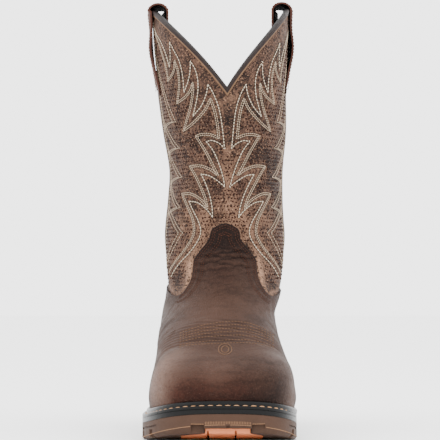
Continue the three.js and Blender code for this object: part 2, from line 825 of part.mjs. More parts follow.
// Outsole: a full plate with a lugged forefoot, cut by grooves and a pocket for the tread insert
function makeOutsole() {
  const plate = slabSolid([
    soleRing(edgeOffset, plateBottom),
    soleRing(edgeOffset, outsoleTop),
  ]);
  const toeShare = (turn) => Math.max(0, Math.cos(radians(turn))) ** 2;
  const bevelled = (turn) => edgeOffset(turn) - 0.8 - toeBevel * toeShare(turn);
  const bevelHeight = (turn) => 1.2 + (toeBevelHeight - 1.2) * toeShare(turn);
  const tread = toManifold(
    slabSolid([
      soleRing(bevelled, soleRise),
      soleRing(edgeOffset, (back, turn) => soleRise(back) + bevelHeight(turn)),
      soleRing(edgeOffset, (back) => plateBottom(back) + 1),
    ]),
  );
  const behind = block(0, 2 * ballWidth, treadBack, soleLength + 20, -60, 90);
  let solid = toManifold(plate).add(tread.subtract(behind));

  const roof = (back) => plateBottom(back);
  const cutters = [];
  for (const side of [-1, 1]) {
    for (const back of sideGrooves) {
      const inner = pocketWidth / 2 - 1;
      const reach = ballWidth / 2 + overcut - inner;
      const x = side * (inner + reach / 2);
      const half = grooveWidth / 2;
      cutters.push(block(x, reach, back - half, back + half, -overcut, roof(back), side * 10));
    }
    const notch = toeCentre + (side * notchSpacing) / 2;
    const notchRoof = roof(0) - 1.2;
    cutters.push(block(notch, notchWidth, -overcut, notchBack, -overcut, notchRoof));
    cutters.push(edgeSlot(side * 48, side * 76, 0.36));
    cutters.push(edgeSlot(side * 86, side * 98, 0.36));
    cutters.push(edgeSlot(side * 132, side * 158, 0.3));
  }
  const dent = roof(0) - 3.4;
  cutters.push(block(toeCentre, 2.6, -overcut, 3, -overcut, dent));
  cutters.push(toManifold(stripSolid(pocketFront, pocketBack, 0, -overcut, 0)));
  for (const cutter of cutters) solid = solid.subtract(cutter);

  const ribs = 5;
  for (let i = 0; i < ribs; i++) {
    const back = mix(treadBack + 12, heelBreast - 12, i / (ribs - 1));
    const low = plateBottom(back) - 2;
    const high = plateBottom(back) + 3;
    solid = solid.add(block(featherCentre, 44, back - 1.6, back + 1.6, low, high));
  }
  return toGeometry(solid);
}

// Half the pocket's width at a distance back.
function pocketHalf(back) {
  const opening = smooth((back - pocketFront) / pocketNose);
  const closing = clamp01((pocketBack - back) / 8);
  return (mix(pocketNoseWidth, pocketWidth, opening) / 2) * mix(0.86, 1, closing);
}

function pocketCentre(back) {
  return mix(toeCentre, featherCentre, smooth((back - pocketFront) / pocketNose));
}

// A strip under the middle of the forefoot that follows the sole's curve and the pocket's width.
// inset draws in its sides; lift and thickness are heights below the plate. With no thickness it
// runs down to the level lift, as a cutter.
function stripSolid(from, to, inset, lift, thickness) {
  const steps = 12;
  const sections = Array.from({ length: steps + 1 }, (_, i) => {
    const back = mix(from, to, i / steps);
    const y = back - soleLength / 2;
    const half = pocketHalf(back) - inset;
    const middle = pocketCentre(back);
    const high = plateBottom(back) - (thickness ? lift : 0);
    const low = thickness ? high - thickness : lift;
    return [
      new THREE.Vector3(middle + half, y, high),
      new THREE.Vector3(middle - half, y, high),
      new THREE.Vector3(middle - half, y, low),
      new THREE.Vector3(middle + half, y, low),
    ];
  });
  return sweepSolid(sections, false);
}

// Forefoot insert: a thin plate in the pocket with rows of coloured tread pads under it. Each pad
// is a slice of the pocket, so that its tread follows the sole's curve.
function makeForefootInsert() {
  const clear = gap + 0.2;
  const from = pocketFront + clear;
  const to = pocketBack - clear;
  const inset = gap + chordRoom;
  let solid = toManifold(stripSolid(from, to, inset, gap, insertPlate));
  const seat = gap + insertPlate / 2;
  let pads = toManifold(stripSolid(from, to, inset, seat, plateBottom(to) - seat));
  const pitch = (to - from) / padRows;
  for (let row = 1; row < padRows; row++) {
    const back = from + row * pitch;
    pads = pads.subtract(block(0, ballWidth, back - padSlot / 2, back + padSlot / 2, -overcut, 30));
  }
  const columnPitch = pocketWidth / padColumns;
  for (let column = 1; column < padColumns; column++) {
    const x = featherCentre + (column - padColumns / 2) * columnPitch;
    pads = pads.subtract(block(x, padSlot, 0, to + 10, -overcut, 30));
  }
  return toGeometry(solid.add(pads));
}

// Heel outline: the rear of the sole's edge, drawn in by an amount, cut off at the breast
function heelSlab(insetLow, insetHigh, low, high) {
  const solid = toManifold(
    slabSolid([
      soleRing((turn) => edgeOffset(turn) - insetLow, () => low),
      soleRing((turn) => edgeOffset(turn) - insetHigh, () => high),
    ]),
  );
  return solid.subtract(block(0, 2 * ballWidth, -20, heelBreast, low - 5, high + 5));
}

const seatBottom = plateBottom(soleLength);
const heelInset = (height) => mix(heelTaper, 0.6, clamp01(height / seatBottom));

// Heel base: the tall block under the heel seat, with lines round it like a stacked heel
function makeHeelBase() {
  const low = heelLiftThickness + gap;
  const high = seatBottom - gap;
  const lines = 2;
  let solid = heelSlab(heelInset(low), heelInset(high), low, high);
  for (let i = 1; i <= lines; i++) {
    const height = mix(low, high, i / (lines + 1));
    const inset = heelInset(height);
    const outside = heelSlab(-6, -6, height - 0.5, height + 0.5);
    const core = heelSlab(inset + 0.9, inset + 0.9, height - 1, height + 1);
    solid = solid.subtract(outside.subtract(core));
  }
  const rampLow = plateBottom(archBack) - 3;
  const ramp = block(0, 2 * ballWidth, heelBreast - 1, archBack + 4, rampLow, high + 5);
  return toGeometry(solid.subtract(ramp));
}

const heelPocket = {
  from: heelBreast + heelPocketFront,
  to: soleLength - heelPocketBack,
  roof: heelLiftThickness - heelLugDepth / 2 + 0.4,
};
const heelMiddle = featherCentre;

// Heel lift: the rubber top piece that wears on the floor, lugged round a coloured insert
function makeHeelLift() {
  let solid = heelSlab(heelInset(0), heelInset(heelLiftThickness), 0, heelLiftThickness);
  const cutter = (x, width, from, to, high, turn) =>
    (solid = solid.subtract(block(x, width, from, to, -overcut, high, turn)));
  cutter(heelMiddle, heelPocketWidth, heelPocket.from, heelPocket.to, heelPocket.roof, 0);
  const grooves = [0.15, 0.5, 0.85];
  for (const side of [-1, 1]) {
    for (const share of grooves) {
      const back = mix(heelPocket.from, heelPocket.to, share);
      const inner = heelPocketWidth / 2 - 1;
      const reach = ballWidth / 2 - inner;
      const x = heelMiddle + side * (inner + reach / 2);
      cutter(x, reach, back - heelGroove / 2, back + heelGroove / 2, heelLugDepth, side * 8);
    }
    const x = heelMiddle + (side * heelPocketWidth) / 4;
    cutter(x, heelGroove, heelPocket.to - 1, soleLength + overcut, heelLugDepth, 0);
  }
  cutter(heelMiddle, heelGroove, heelBreast - overcut, heelPocket.from + 1, heelLugDepth, 0);
  return toGeometry(solid);
}

// Heel insert: coloured pads set in the heel lift
function makeHeelInsert() {
  const clear = gap + 0.2;
  const width = heelPocketWidth - 2 * clear;
  const from = heelPocket.from + clear;
  const to = heelPocket.to - clear;
  const high = heelPocket.roof - gap;
  let solid = block(heelMiddle, width, from, to, high - insertPlate, high);
  const pitch = (to - from + padSlot) / heelPadRows;
  for (let row = 0; row < heelPadRows; row++) {
    for (const side of [-1, 1]) {
      const start = from + row * pitch;
      const padWidth = (width - padSlot) / 2;
      const x = heelMiddle + (side * (padWidth + padSlot)) / 2;
      solid = solid.add(block(x, padWidth, start, start + pitch - padSlot, 0, high - 0.2));
    }
  }
  return toGeometry(solid);
}

// Finishes, seen in the photograph or usual on such a boot
const finishes = {
  shaftLeather: { color: "#85695a", roughness: 0.62, metalness: 0 },
  vampLeather: { color: "#5b4338", roughness: 0.5, metalness: 0 },
  binding: { color: "#4e4747", roughness: 0.55, metalness: 0 },
  strapLeather: { color: "#5a3226", roughness: 0.55, metalness: 0 },
  piping: { color: "#8e8581", roughness: 0.6, metalness: 0 },
  weltRubber: { color: "#2b2d30", roughness: 0.4, metalness: 0 },
  soleRubber: { color: "#75604f", roughness: 0.65, metalness: 0 },
  treadRubber: { color: "#c2603c", roughness: 0.7, metalness: 0 },
  footbed: { color: "#3a3634", roughness: 0.9, metalness: 0 },
};

const boot = new THREE.Group();

function addPiece(name, geometry, finish) {
  geometry.computeVertexNormals();
  const mesh = new THREE.Mesh(geometry, new THREE.MeshStandardMaterial(finishes[finish]));
  mesh.name = name;
  boot.add(mesh);
}

addPiece("outsole", makeOutsole(), "soleRubber");
addPiece("forefoot_tread_insert", makeForefootInsert(), "treadRubber");
addPiece("midsole", makeMidsole(), "weltRubber");
addPiece("welt", makeWelt(), "weltRubber");
addPiece("heel_base", makeHeelBase(), "soleRubber");
addPiece("heel_lift", makeHeelLift(), "soleRubber");
addPiece("heel_tread_insert", makeHeelInsert(), "treadRubber");
addPiece("insole", makeInsole(), "footbed");
addPiece("upper", makeUpper(), "shaftLeather");
addPiece("vamp", makeVamp(), "vampLeather");
addPiece("heel_counter", makeCounter(), "vampLeather");
addPiece("collar_binding", makeBinding(), "binding");
for (const [name, side] of [["inner", 1], ["outer", -1]]) {
  addPiece(`pull_strap_${name}`, makeStrap(side), "strapLeather");
  addPiece(`side_piping_${name}`, makePiping(side), "piping");
}

export default boot;
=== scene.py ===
import math

import bpy
import numpy as np
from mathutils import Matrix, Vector
from mathutils.kdtree import KDTree


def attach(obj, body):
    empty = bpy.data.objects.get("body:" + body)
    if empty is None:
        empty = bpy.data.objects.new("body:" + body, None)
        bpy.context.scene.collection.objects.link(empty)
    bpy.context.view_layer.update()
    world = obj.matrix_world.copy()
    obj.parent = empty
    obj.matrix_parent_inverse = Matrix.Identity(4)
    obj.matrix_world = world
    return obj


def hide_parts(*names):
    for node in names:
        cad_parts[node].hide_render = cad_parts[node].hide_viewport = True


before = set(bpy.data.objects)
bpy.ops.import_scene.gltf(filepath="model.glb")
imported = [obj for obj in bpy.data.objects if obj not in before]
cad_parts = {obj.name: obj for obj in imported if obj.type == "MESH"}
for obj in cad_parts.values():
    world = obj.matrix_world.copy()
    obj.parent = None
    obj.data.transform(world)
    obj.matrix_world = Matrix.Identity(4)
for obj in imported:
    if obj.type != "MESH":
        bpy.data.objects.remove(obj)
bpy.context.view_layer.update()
print("frame loaded")

# Sizes in millimetres, as in the solid model. "Back" is the distance from the sole's toe tip.
mm = 0.001
soleLength = 306.0
ballWidth = 117.0
toeSpring = 10.3
heelRise = 23.0
instepRise = 117.0
collarHeight = 342.4
shaftWidth = 113.3
shaftDepth = 142.0
wall = 2.4
gap = 0.3
overlay = 1.4
proud = gap + overlay
outsoleThickness = 12.4
outsolePlate = 6.4
midsoleThickness = 3.2
flangeToe = 6.0
flangeInner = 3.1
flangeOuter = 7.0
flangeHeel = 4.3
tongueHeight = 165.0

soleTopAtBall = outsoleThickness + gap + midsoleThickness
featherFront = flangeToe + proud
lastLength = soleLength - featherFront - flangeHeel - proud
lastHalf = (ballWidth - flangeInner - flangeOuter) / 2 - proud
featherCentre = (flangeOuter - flangeInner) / 2
heelTop = soleTopAtBall + heelRise
shaftRise = collarHeight - heelTop
springBack = 0.262 * soleLength
archFront = 0.49 * soleLength
archBack = 0.768 * soleLength
toeSwing = 0.066 * lastHalf

# Sections of the foot: rise, front, back, widest, half, centre, toe, heel, waistIn, waistOut
footRows = [
    (0.0, 0.0, 1.0, 0.282, 1.0, 0.0, 3.0, 2.6, 0.36, 0.24),
    (0.06, -0.006, 1.004, 0.282, 1.028, 0.0, 3.0, 2.6, 0.33, 0.21),
    (0.132, -0.0075, 1.008, 0.285, 1.044, 0.0, 3.1, 2.6, 0.28, 0.17),
    (0.205, 0.0, 1.009, 0.292, 1.026, -0.002, 3.3, 2.6, 0.22, 0.13),
    (0.273, 0.024, 1.0075, 0.302, 0.999, 0.004, 3.6, 2.5, 0.17, 0.1),
    (0.342, 0.066, 1.003, 0.322, 0.957, 0.0, 3.8, 2.5, 0.12, 0.07),
    (0.41, 0.127, 0.997, 0.372, 0.915, -0.018, 3.7, 2.4, 0.08, 0.05),
    (0.483, 0.193, 0.99, 0.44, 0.893, -0.042, 3.0, 2.3, 0.05, 0.03),
    (0.561, 0.261, 0.982, 0.514, 0.868, -0.05, 2.5, 2.3, 0.02, 0.01),
    (0.65, 0.33, 0.974, 0.583, 0.825, -0.032, 2.3, 2.2, 0, 0),
    (0.752, 0.398, 0.9675, 0.644, 0.865, 0.036, 2.2, 2.2, 0, 0),
    (0.872, 0.4595, 0.963, 0.689, 0.915, 0.048, 2.15, 2.1, 0, 0),
    (1.0, 0.506, 0.9605, 0.723, 0.93, 0.05, 2.1, 2.1, 0, 0),
]
# Sections of the shaft: rise, back, depth, half, centre, follow
shaftRows = [
    (0.075, 0.96, 0.879, 0.832, 0.045, 0.85),
    (0.171, 0.9617, 0.856, 0.809, 0.054, 0.6),
    (0.3, 0.9665, 0.861, 0.803, 0.065, 0.33),
    (0.465, 0.976, 0.891, 0.874, 0.043, 0.15),
    (0.642, 0.988, 0.933, 0.916, 0.005, 0),
    (0.821, 1.0, 0.972, 0.966, -0.011, 0),
    (1.0, 1.0103, 1.0, 0.991, -0.023, 0),
]
shaftSquareness = 2.1
shaftTwist = 6.0
waistPlace = featherFront + 0.658 * lastLength
waistSpread = 0.185 * lastLength
kneeLevel = len(footRows)
topLevel = len(footRows) + len(shaftRows) - 1
frontScallop = 70.0
backScallop = 72.0


def levelTable():
    rows = []
    for rise, front, back, widest, half, centre, toe, heel, waistIn, waistOut in footRows:
        stations = [featherFront + share * lastLength for share in (front, back, widest)]
        sides = [half * lastHalf, featherCentre + centre * lastHalf]
        rows.append([rise * instepRise, *stations, *sides, toe, heel, waistIn, waistOut, 1.0])
    for rise, back, depth, half, centre, follow in shaftRows:
        height = instepRise + rise * (shaftRise - instepRise)
        heelSide = featherFront + back * lastLength
        toeSide = heelSide - depth * shaftDepth
        sides = [half * shaftWidth / 2, featherCentre + centre * shaftWidth / 2]
        middle = (heelSide + toeSide) / 2
        square = [shaftSquareness, shaftSquareness, 0.0, 0.0]
        rows.append([height, toeSide, heelSide, middle, *sides, *square, follow])
    rows.insert(0, [2 * a - b for a, b in zip(rows[0], rows[1])])
    rows.append([2 * a - b for a, b in zip(rows[-1], rows[-2])])
    return np.array(rows)


levels = levelTable()


def mix(a, b, share):
    return a + (b - a) * share


def smooth(value):
    t = np.clip(value, 0, 1)
    return t * t * (3 - 2 * t)


# A soft bump: 1 where the distance is 0, fading out over the width
def bell(distance, width):
    return np.exp(-(distance / width) ** 2)


def wrapped(turn):
    return (turn + 540) % 360 - 180


def floats(*values):
    return np.broadcast_arrays(*(np.asarray(value, float) for value in values))


# Halves the range from low to high until it closes on the place where the test stops being true
def halve(test, low, high, steps=26):
    for _ in range(steps):
        middle = (low + high) / 2
        passed = test(middle)
        low, high = np.where(passed, middle, low), np.where(passed, high, middle)
    return low, high


def soleRise(back):
    spring = toeSpring * np.maximum(0, 1 - back / springBack) ** 2
    return spring + heelRise * smooth((back - archFront) / (archBack - archFront))


def soleTop(back):
    return soleTopAtBall + soleRise(back)


def outsoleTop(back):
    return outsoleThickness + soleRise(back)


def plateBottom(back):
    return outsoleTop(back) - outsolePlate


def sectionAt(level):
    low = np.clip(np.floor(level), 0, topLevel - 1).astype(int)
    t = (level - low)[..., None]
    a, b, c, d = (levels[low + step] for step in range(4))
    curve = -a + 3 * b - 3 * c + d
    section = b + 0.5 * t * (c - a + t * (2 * a - 5 * b + 4 * c - d + t * curve))
    return np.moveaxis(section, -1, 0)


# A point on the boot's outer face, in millimetres, at a turn round the leg and a level up it
def lastPoint(turn, level):
    turn, level = floats(turn, level)
    rise, front, rear, widest, half, centre, toe, heel, waistIn, waistOut, follow = sectionAt(level)
    twist = shaftTwist * smooth((level - kneeLevel) / (topLevel - kneeLevel))
    angle = np.radians(turn + twist)
    side, ahead = np.sin(angle), np.cos(angle)
    power = mix(heel, toe, (1 + ahead) / 2)
    size = (np.abs(side) ** power + np.abs(ahead) ** power) ** (1 / power)
    reach = np.where(ahead > 0, widest - front, rear - widest)
    back = widest - reach * ahead / size
    waist = 1 - np.where(side > 0, waistIn, waistOut) * bell(back - waistPlace, waistSpread)
    ball = levels[1][3]
    swing = toeSwing * np.maximum(0, 1 - back / ball) ** 2
    x = centre + swing + half * side / size * waist
    z = rise + follow * soleTop(back) + (1 - follow) * heelTop
    return np.stack([x, back - soleLength / 2, z], -1)


def backOf(points):
    return points[..., 1] + soleLength / 2


def unit(vectors):
    return vectors / np.maximum(np.linalg.norm(vectors, axis=-1, keepdims=True), 1e-9)


def wallNormal(turn, level):
    step = 0.02
    turn, level = floats(turn, level)
    along = lastPoint(turn + 50 * step, level) - lastPoint(turn - 50 * step, level)
    lower = np.where(level < step, level, level - step)
    up = lastPoint(turn, level + step) - lastPoint(turn, lower)
    normal = unit(np.cross(along, up))
    free = smooth(level / 2)
    back = backOf(lastPoint(turn, level))
    ease = 0.1 * soleLength
    arch = smooth((back - archFront + ease) / ease) * smooth((archBack + ease - back) / ease)
    normal[..., 2] *= free
    normal[..., 1] *= 1 - arch * (1 - free)
    return unit(normal)


# The point above or below the outer face, at a distance along its normal
def wallPoint(turn, level, distance):
    return lastPoint(turn, level) + wallNormal(turn, level) * np.asarray(distance)[..., None]


def levelAtHeight(turn, height):
    turn, height = floats(turn, height)
    low, high = halve(lambda level: lastPoint(turn, level)[..., 2] < height,
                      np.zeros(turn.shape), np.full(turn.shape, topLevel + 0.6))
    return (low + high) / 2


def turnAtBack(back, level, side):
    back, level = floats(back, level)
    low, high = halve(lambda turn: backOf(lastPoint(side * turn, level)) < back,
                      np.zeros(back.shape), np.full(back.shape, 180.0))
    return side * (low + high) / 2


def collarAt(turn):
    turn = wrapped(np.asarray(turn, float))
    away = np.abs(turn)
    front = frontScallop * np.maximum(0, 1 - away / 90) ** np.where(turn > 0, 1.78, 1.58)
    back = backScallop * np.maximum(0, away / 90 - 1) ** 1.1
    return collarHeight + 1.3 * np.sin(np.radians(turn)) - np.maximum(front, back)


# Nodes joined by plain arithmetic
class Wire:
    def __init__(self, tree, socket):
        self.tree = tree
        self.socket = socket

    def math(self, operation, *others, clamp=False):
        node = self.tree.nodes.new("ShaderNodeMath")
        node.operation = operation
        node.use_clamp = clamp
        for slot, value in zip(node.inputs, (self, *others)):
            plug(self.tree, slot, value)
        return Wire(self.tree, node.outputs[0])

    def __add__(self, other):
        return self.math("ADD", other)

    def __sub__(self, other):
        return self.math("SUBTRACT", other)

    def __mul__(self, other):
        return self.math("MULTIPLY", other)

    def __radd__(self, other):
        return self + other

    def __rmul__(self, other):
        return self * other

    def __rsub__(self, other):
        return self * -1.0 + other

    def clip(self):
        return self.math("ADD", 0.0, clamp=True)

    def between(self, low, high):
        return ((self - low) * (1.0 / (high - low))).clip()


def plug(tree, slot, value):
    if isinstance(value, Wire):
        tree.links.new(value.socket, slot)
    elif isinstance(value, tuple) and len(value) == 3 and slot.type == "RGBA":
        slot.default_value = (*value, 1.0)
    else:
        slot.default_value = value


class Shade:
    def __init__(self, name):
        self.material = bpy.data.materials.new(name)
        self.material.use_nodes = True
        self.tree = self.material.node_tree
        self.tree.nodes.clear()

    def node(self, kind, inputs=None, output=0, **settings):
        node = self.tree.nodes.new(kind)
        for key, value in settings.items():
            setattr(node, key, value)
        for key, value in (inputs or {}).items():
            plug(self.tree, node.inputs[key], value)
        return Wire(self.tree, node.outputs[output])

    def place(self):
        return self.node("ShaderNodeTexCoord", output="Object")

    def noise(self, scale, detail=3.0, roughness=0.6, stretch=None, distortion=0.0):
        place = self.place()
        if stretch:
            place = self.node("ShaderNodeMapping", {"Vector": place, "Scale": stretch})
        settings = {"Vector": place, "Scale": scale, "Detail": detail, "Roughness": roughness}
        return self.node("ShaderNodeTexNoise", {**settings, "Distortion": distortion})

    def cells(self, scale):
        return self.node("ShaderNodeTexVoronoi", {"Vector": self.place(), "Scale": scale})

    def painted(self, name):
        return self.node("ShaderNodeAttribute", output="Fac", attribute_name=name)

    def blend(self, factor, first, second):
        inputs = {0: factor, 6: first, 7: second}
        return self.node("ShaderNodeMix", inputs, 2, data_type="RGBA")

    def finish(self, base, roughness, specular, relief, depth):
        bump = self.node("ShaderNodeBump", {"Height": relief, "Distance": depth, "Strength": 1.0})
        inputs = {"Base Color": base, "Roughness": roughness, "Specular IOR Level": specular}
        surface = self.node("ShaderNodeBsdfPrincipled", {**inputs, "Normal": bump})
        end = self.tree.nodes.new("ShaderNodeOutputMaterial")
        plug(self.tree, end.inputs[0], surface)
        return self.material


colourLight = 2.4
studioLight = 3.6


# Screen colours from 0 to 255, chosen under the first light and scaled to the one that is used
def colour(red, green, blue):
    def linear(value):
        share = value / 255
        return share / 12.92 if share <= 0.04045 else ((share + 0.055) / 1.055) ** 2.4
    return tuple(linear(value) * colourLight / studioLight for value in (red, green, blue))


# Leather: large patches, blotches and speckles over a base colour, random pale wear and painted
# highlights, and a grain with pores and short creases. Two painted attributes steer it: "shade" is
# above 0 where it is paler, as painted highlights and sheen, and below 0 where it is darker, as
# painted shade or the leather's own darker patches, and "warm" leads to a second, redder colour.
def leather(name, look):
    shade = Shade(name)
    stretch = look.get("stretch")
    painted = shade.painted("shade")
    patches = shade.noise(look["patches"], 4.0)
    blotches = shade.noise(look["blotches"], 4.0, 0.65, stretch)
    speckles = shade.noise(look["speckles"])
    fine = shade.noise(look["fine"])
    creases = shade.noise(look["creases"], stretch=stretch, distortion=0.8)
    base = shade.blend(shade.painted("warm").clip(), look["base"], look.get("warm", look["base"]))
    # paler where highlights are painted in, plus random pale wear from the patches
    wearAndHighlight = painted + (patches - 0.5) * (look["wear"] * 2.0)
    base = shade.blend(((speckles.between(0.4, 0.68) + 0.35) * wearAndHighlight).clip(), base, look["light"])
    dark = (patches.between(0.5, 0.68) * look["patchDepth"] - painted).clip()
    blot = (blotches.between(0.5, 0.62) * look["blotDepth"] * (1.0 - painted.clip())).clip()
    base = shade.blend(dark * (0.45 + speckles * 0.9), base, look["dark"])
    base = shade.blend(blot, base, look["dark"])
    base = shade.blend(speckles.between(0.5, 0.6) * look["speckDepth"], base, look["spots"])
    base = shade.blend(fine.between(0.56, 0.7) * look["flecks"], base, look["light"])
    relief = shade.cells(look["pores"]) * 0.3 + fine * 0.5 + speckles * 0.4
    relief += creases * look["creasing"]
    rough = look["roughness"] + (blotches - 0.5) * 0.3 + (speckles - 0.5) * 0.15
    return shade.finish(base, rough, look["specular"], relief, look["depth"])


shaftLook = {
    "base": colour(80, 58, 47), "dark": colour(19, 13, 13), "light": colour(172, 132, 105),
    "spots": colour(22, 15, 14), "patches": 34.0, "blotches": 105.0, "speckles": 470.0,
    "fine": 1000.0, "creases": 230.0, "pores": 1100.0, "patchDepth": 1.1, "blotDepth": 0.85,
    "speckDepth": 0.95, "flecks": 0.8, "wear": 0.8, "creasing": 0.9, "roughness": 0.66,
    "depth": 0.0008, "specular": 0.08,
}
vampLook = {
    "base": colour(61, 43, 35), "dark": colour(16, 10, 9), "light": colour(118, 92, 80),
    "spots": colour(34, 21, 16), "warm": colour(62, 33, 24), "patches": 22.0, "blotches": 70.0,
    "speckles": 420.0, "fine": 1200.0, "creases": 110.0, "pores": 1000.0, "patchDepth": 0.2,
    "blotDepth": 0.32, "speckDepth": 0.35, "flecks": 0.22, "wear": 0.5, "creasing": 0.9,
    "roughness": 0.54, "depth": 0.0007, "specular": 0.05, "stretch": (0.35, 0.6, 1.6),
}
trimLook = {
    "patches": 60.0, "blotches": 170.0, "speckles": 600.0, "fine": 1500.0, "creases": 260.0,
    "pores": 1200.0, "patchDepth": 0.4, "blotDepth": 0.3, "speckDepth": 0.3, "flecks": 0.3,
    "wear": 0.3, "creasing": 0.5, "depth": 0.0004, "specular": 0.1,
}
bindingLook = {
    **trimLook, "base": colour(36, 29, 28), "dark": colour(9, 7, 7), "light": colour(80, 70, 66),
    "spots": colour(32, 28, 29), "blotches": 200.0, "speckles": 700.0, "roughness": 0.5,
}
strapLook = {
    **trimLook, "base": colour(74, 42, 32), "dark": colour(34, 20, 16),
    "light": colour(122, 80, 60), "spots": colour(44, 23, 19), "flecks": 0.25, "roughness": 0.55,
}
pipingLook = {
    **trimLook, "base": colour(104, 90, 82), "dark": colour(58, 50, 47),
    "light": colour(158, 144, 132), "spots": colour(74, 64, 60), "patches": 40.0, "wear": 0.4,
    "roughness": 0.6,
}
shaftLeather = leather("shaftLeather", shaftLook)
vampLeather = leather("vampLeather", vampLook)
bindingLeather = leather("bindingLeather", bindingLook)
strapLeather = leather("strapLeather", strapLook)
pipingLeather = leather("pipingLeather", pipingLook)


def plain(name, base, roughness, specular, grain, scale=700.0, vary=0.12):
    shade = Shade(name)
    mottle = shade.noise(scale * 0.1, 4.0)
    fine = shade.noise(scale)
    darker = tuple(channel * 0.55 for channel in base)
    tone = (mottle.between(0.35, 0.7) * vary * 4.0).clip()
    tinted = shade.blend(tone, base, darker)
    return shade.finish(tinted, roughness + (fine - 0.5) * 0.2, specular, fine, grain)


def threadOf(name, shade, vary=0.05):
    return plain(name, shade, 0.7, 0.06, 0.0001, 3000.0, vary)


liningMaterial = plain("lining", colour(24, 19, 18), 0.8, 0.08, 0.0003)
strapLining = plain("strapLining", colour(3, 2, 2), 0.8, 0.02, 0.0002)
rawEdge = plain("rawEdge", colour(120, 92, 70), 0.75, 0.06, 0.0002)
creamThread = threadOf("creamThread", colour(206, 190, 168), 0.04)
paleThread = threadOf("paleThread", colour(182, 162, 140))
tanThread = threadOf("tanThread", colour(186, 142, 104))
brownThread = threadOf("brownThread", colour(74, 42, 29))
toeThread = threadOf("toeThread", colour(118, 90, 70))
darkThread = threadOf("darkThread", colour(58, 36, 27))
# dark reddish studs for the perforations, partly painted shade inside the holes
punchMaterial = plain("punch", colour(36, 13, 8), 0.8, 0.04, 0.0, 900.0, 0.1)
soleRubber = plain("soleRubber", colour(74, 54, 43), 0.6, 0.08, 0.00025, 500.0, 0.09)
# pale rubber for painted highlights on the sole's edges and ribs
wornRubber = plain("wornRubber", colour(134, 100, 74), 0.65, 0.08, 0.0002, 500.0, 0.06)
treadRubber = plain("treadRubber", (0.62, 0.205, 0.09), 0.7, 0.06, 0.0004, 420.0, 0.06)
weltRubber = plain("weltRubber", colour(3, 3, 3), 0.3, 0.13, 0.00012, 300.0, 0.06)
footbedFabric = plain("footbedFabric", colour(34, 30, 28), 0.9, 0.08, 0.0004, 900.0, 0.1)
floorMaterial = plain("floor", (0.94, 0.94, 0.94), 0.9, 0.1, 0.0, 10.0, 0.0)
print("materials made")


def meshObject(name, points, faces):
    mesh = bpy.data.meshes.new(name)
    mesh.from_pydata((np.asarray(points) * mm).tolist(), [], [list(map(int, f)) for f in faces])
    obj = bpy.data.objects.new(name, mesh)
    bpy.context.scene.collection.objects.link(obj)
    return obj, mesh


def smoothFaces(mesh, angle):
    mesh.polygons.foreach_set("use_smooth", np.ones(len(mesh.polygons), dtype=bool))
    if angle:
        mesh.set_sharp_from_angle(angle=math.radians(angle))


sharpAngle = 35


# An object from points in millimetres, with the attributes that the leathers read
def addObject(name, points, faces, materials, kinds=None, painted=None, angle=None, warm=None):
    obj, mesh = meshObject(name, points, faces)
    for material in materials:
        mesh.materials.append(material)
    if kinds is not None:
        mesh.polygons.foreach_set("material_index", np.asarray(kinds, dtype=np.int32))
    shade = np.zeros(len(mesh.vertices)) if painted is None else np.asarray(painted, float)
    mesh.attributes.new("shade", "FLOAT", "POINT").data.foreach_set("value", shade.ravel())
    if warm is not None:
        mesh.attributes.new("warm", "FLOAT", "POINT").data.foreach_set("value", warm.ravel())
    mesh.update()
    smoothFaces(mesh, angle)
    return obj


# Faces of a grid of points; its columns and its rows may each run round
def gridFaces(columns, rows, closed, start=0, flip=False, ringed=False):
    i = np.arange(columns if closed else columns - 1)
    j = np.arange(rows if ringed else rows - 1)
    i, j = (part.ravel() for part in np.meshgrid(i, j, indexing="ij"))
    n, m = (i + 1) % columns, (j + 1) % rows
    faces = np.stack([i * rows + j, n * rows + j, n * rows + m, i * rows + m], -1) + start
    return faces[:, ::-1] if flip else faces


# A sheet with an outer face only, from a grid (columns, rows, 3)
def sheet(name, grid, material, closed=False, painted=None, flip=False, warm=None):
    faces = gridFaces(*grid.shape[:2], closed, flip=flip)
    return addObject(name, grid.reshape(-1, 3), faces, [material], None, painted, None, warm)


# A closed section (corners) carried along stations: a grid (stations, corners, 3)
def sweep(name, sections, material, closed, painted=None, angle=None):
    count, corners = sections.shape[:2]
    faces = gridFaces(count, corners, closed, ringed=True).tolist()
    if not closed:
        faces.append(list(range(corners)))
        faces.append([(count - 1) * corners + k for k in reversed(range(corners))])
    return addObject(name, sections.reshape(-1, 3), faces, [material], None, painted, angle)


# A solid from rings of points, lowest first; strips across close its ends
def slab(name, rings, material):
    count = len(rings[0])
    faces = []
    for low in range(0, (len(rings) - 1) * count, count):
        high = low + count
        for i in range(count):
            n = (i + 1) % count
            faces.append([low + i, low + n, high + n, high + i])
    top = (len(rings) - 1) * count
    for i in range(count // 2):
        other, after = (count - i) % count, count - i - 1
        if i == 0:
            faces += [[top, top + 1, top + after], [1, 0, after]]
        elif after == i + 1:
            faces += [[top + i, top + i + 1, top + other], [i + 1, i, other]]
        else:
            faces += [[top + i, top + i + 1, top + after, top + other], [i + 1, i, other, after]]
    return addObject(name, np.concatenate(rings), faces, [material], angle=sharpAngle)


def keep(obj, slotName, *nodes):
    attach(obj, "root")
    for node in nodes:
        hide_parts(node)
    return obj


# The mesh of an object after its modifiers, in place of the one it had
def bake(obj):
    bpy.context.view_layer.update()
    evaluated = obj.evaluated_get(bpy.context.evaluated_depsgraph_get())
    mesh = bpy.data.meshes.new_from_object(evaluated)
    obj.modifiers.clear()
    old, obj.data = obj.data, mesh
    bpy.data.meshes.remove(old)
    return mesh


# Cuts one object with others, or joins them, and bakes the result
def carve(obj, cutters, operation="DIFFERENCE"):
    for cutter in cutters:
        step = obj.modifiers.new("cut", "BOOLEAN")
        step.operation = operation
        step.solver = "EXACT"
        step.object = cutter
    mesh = bake(obj)
    for cutter in cutters:
        data = cutter.data
        bpy.data.objects.remove(cutter)
        bpy.data.meshes.remove(data)
    smoothFaces(mesh, sharpAngle)
    return obj


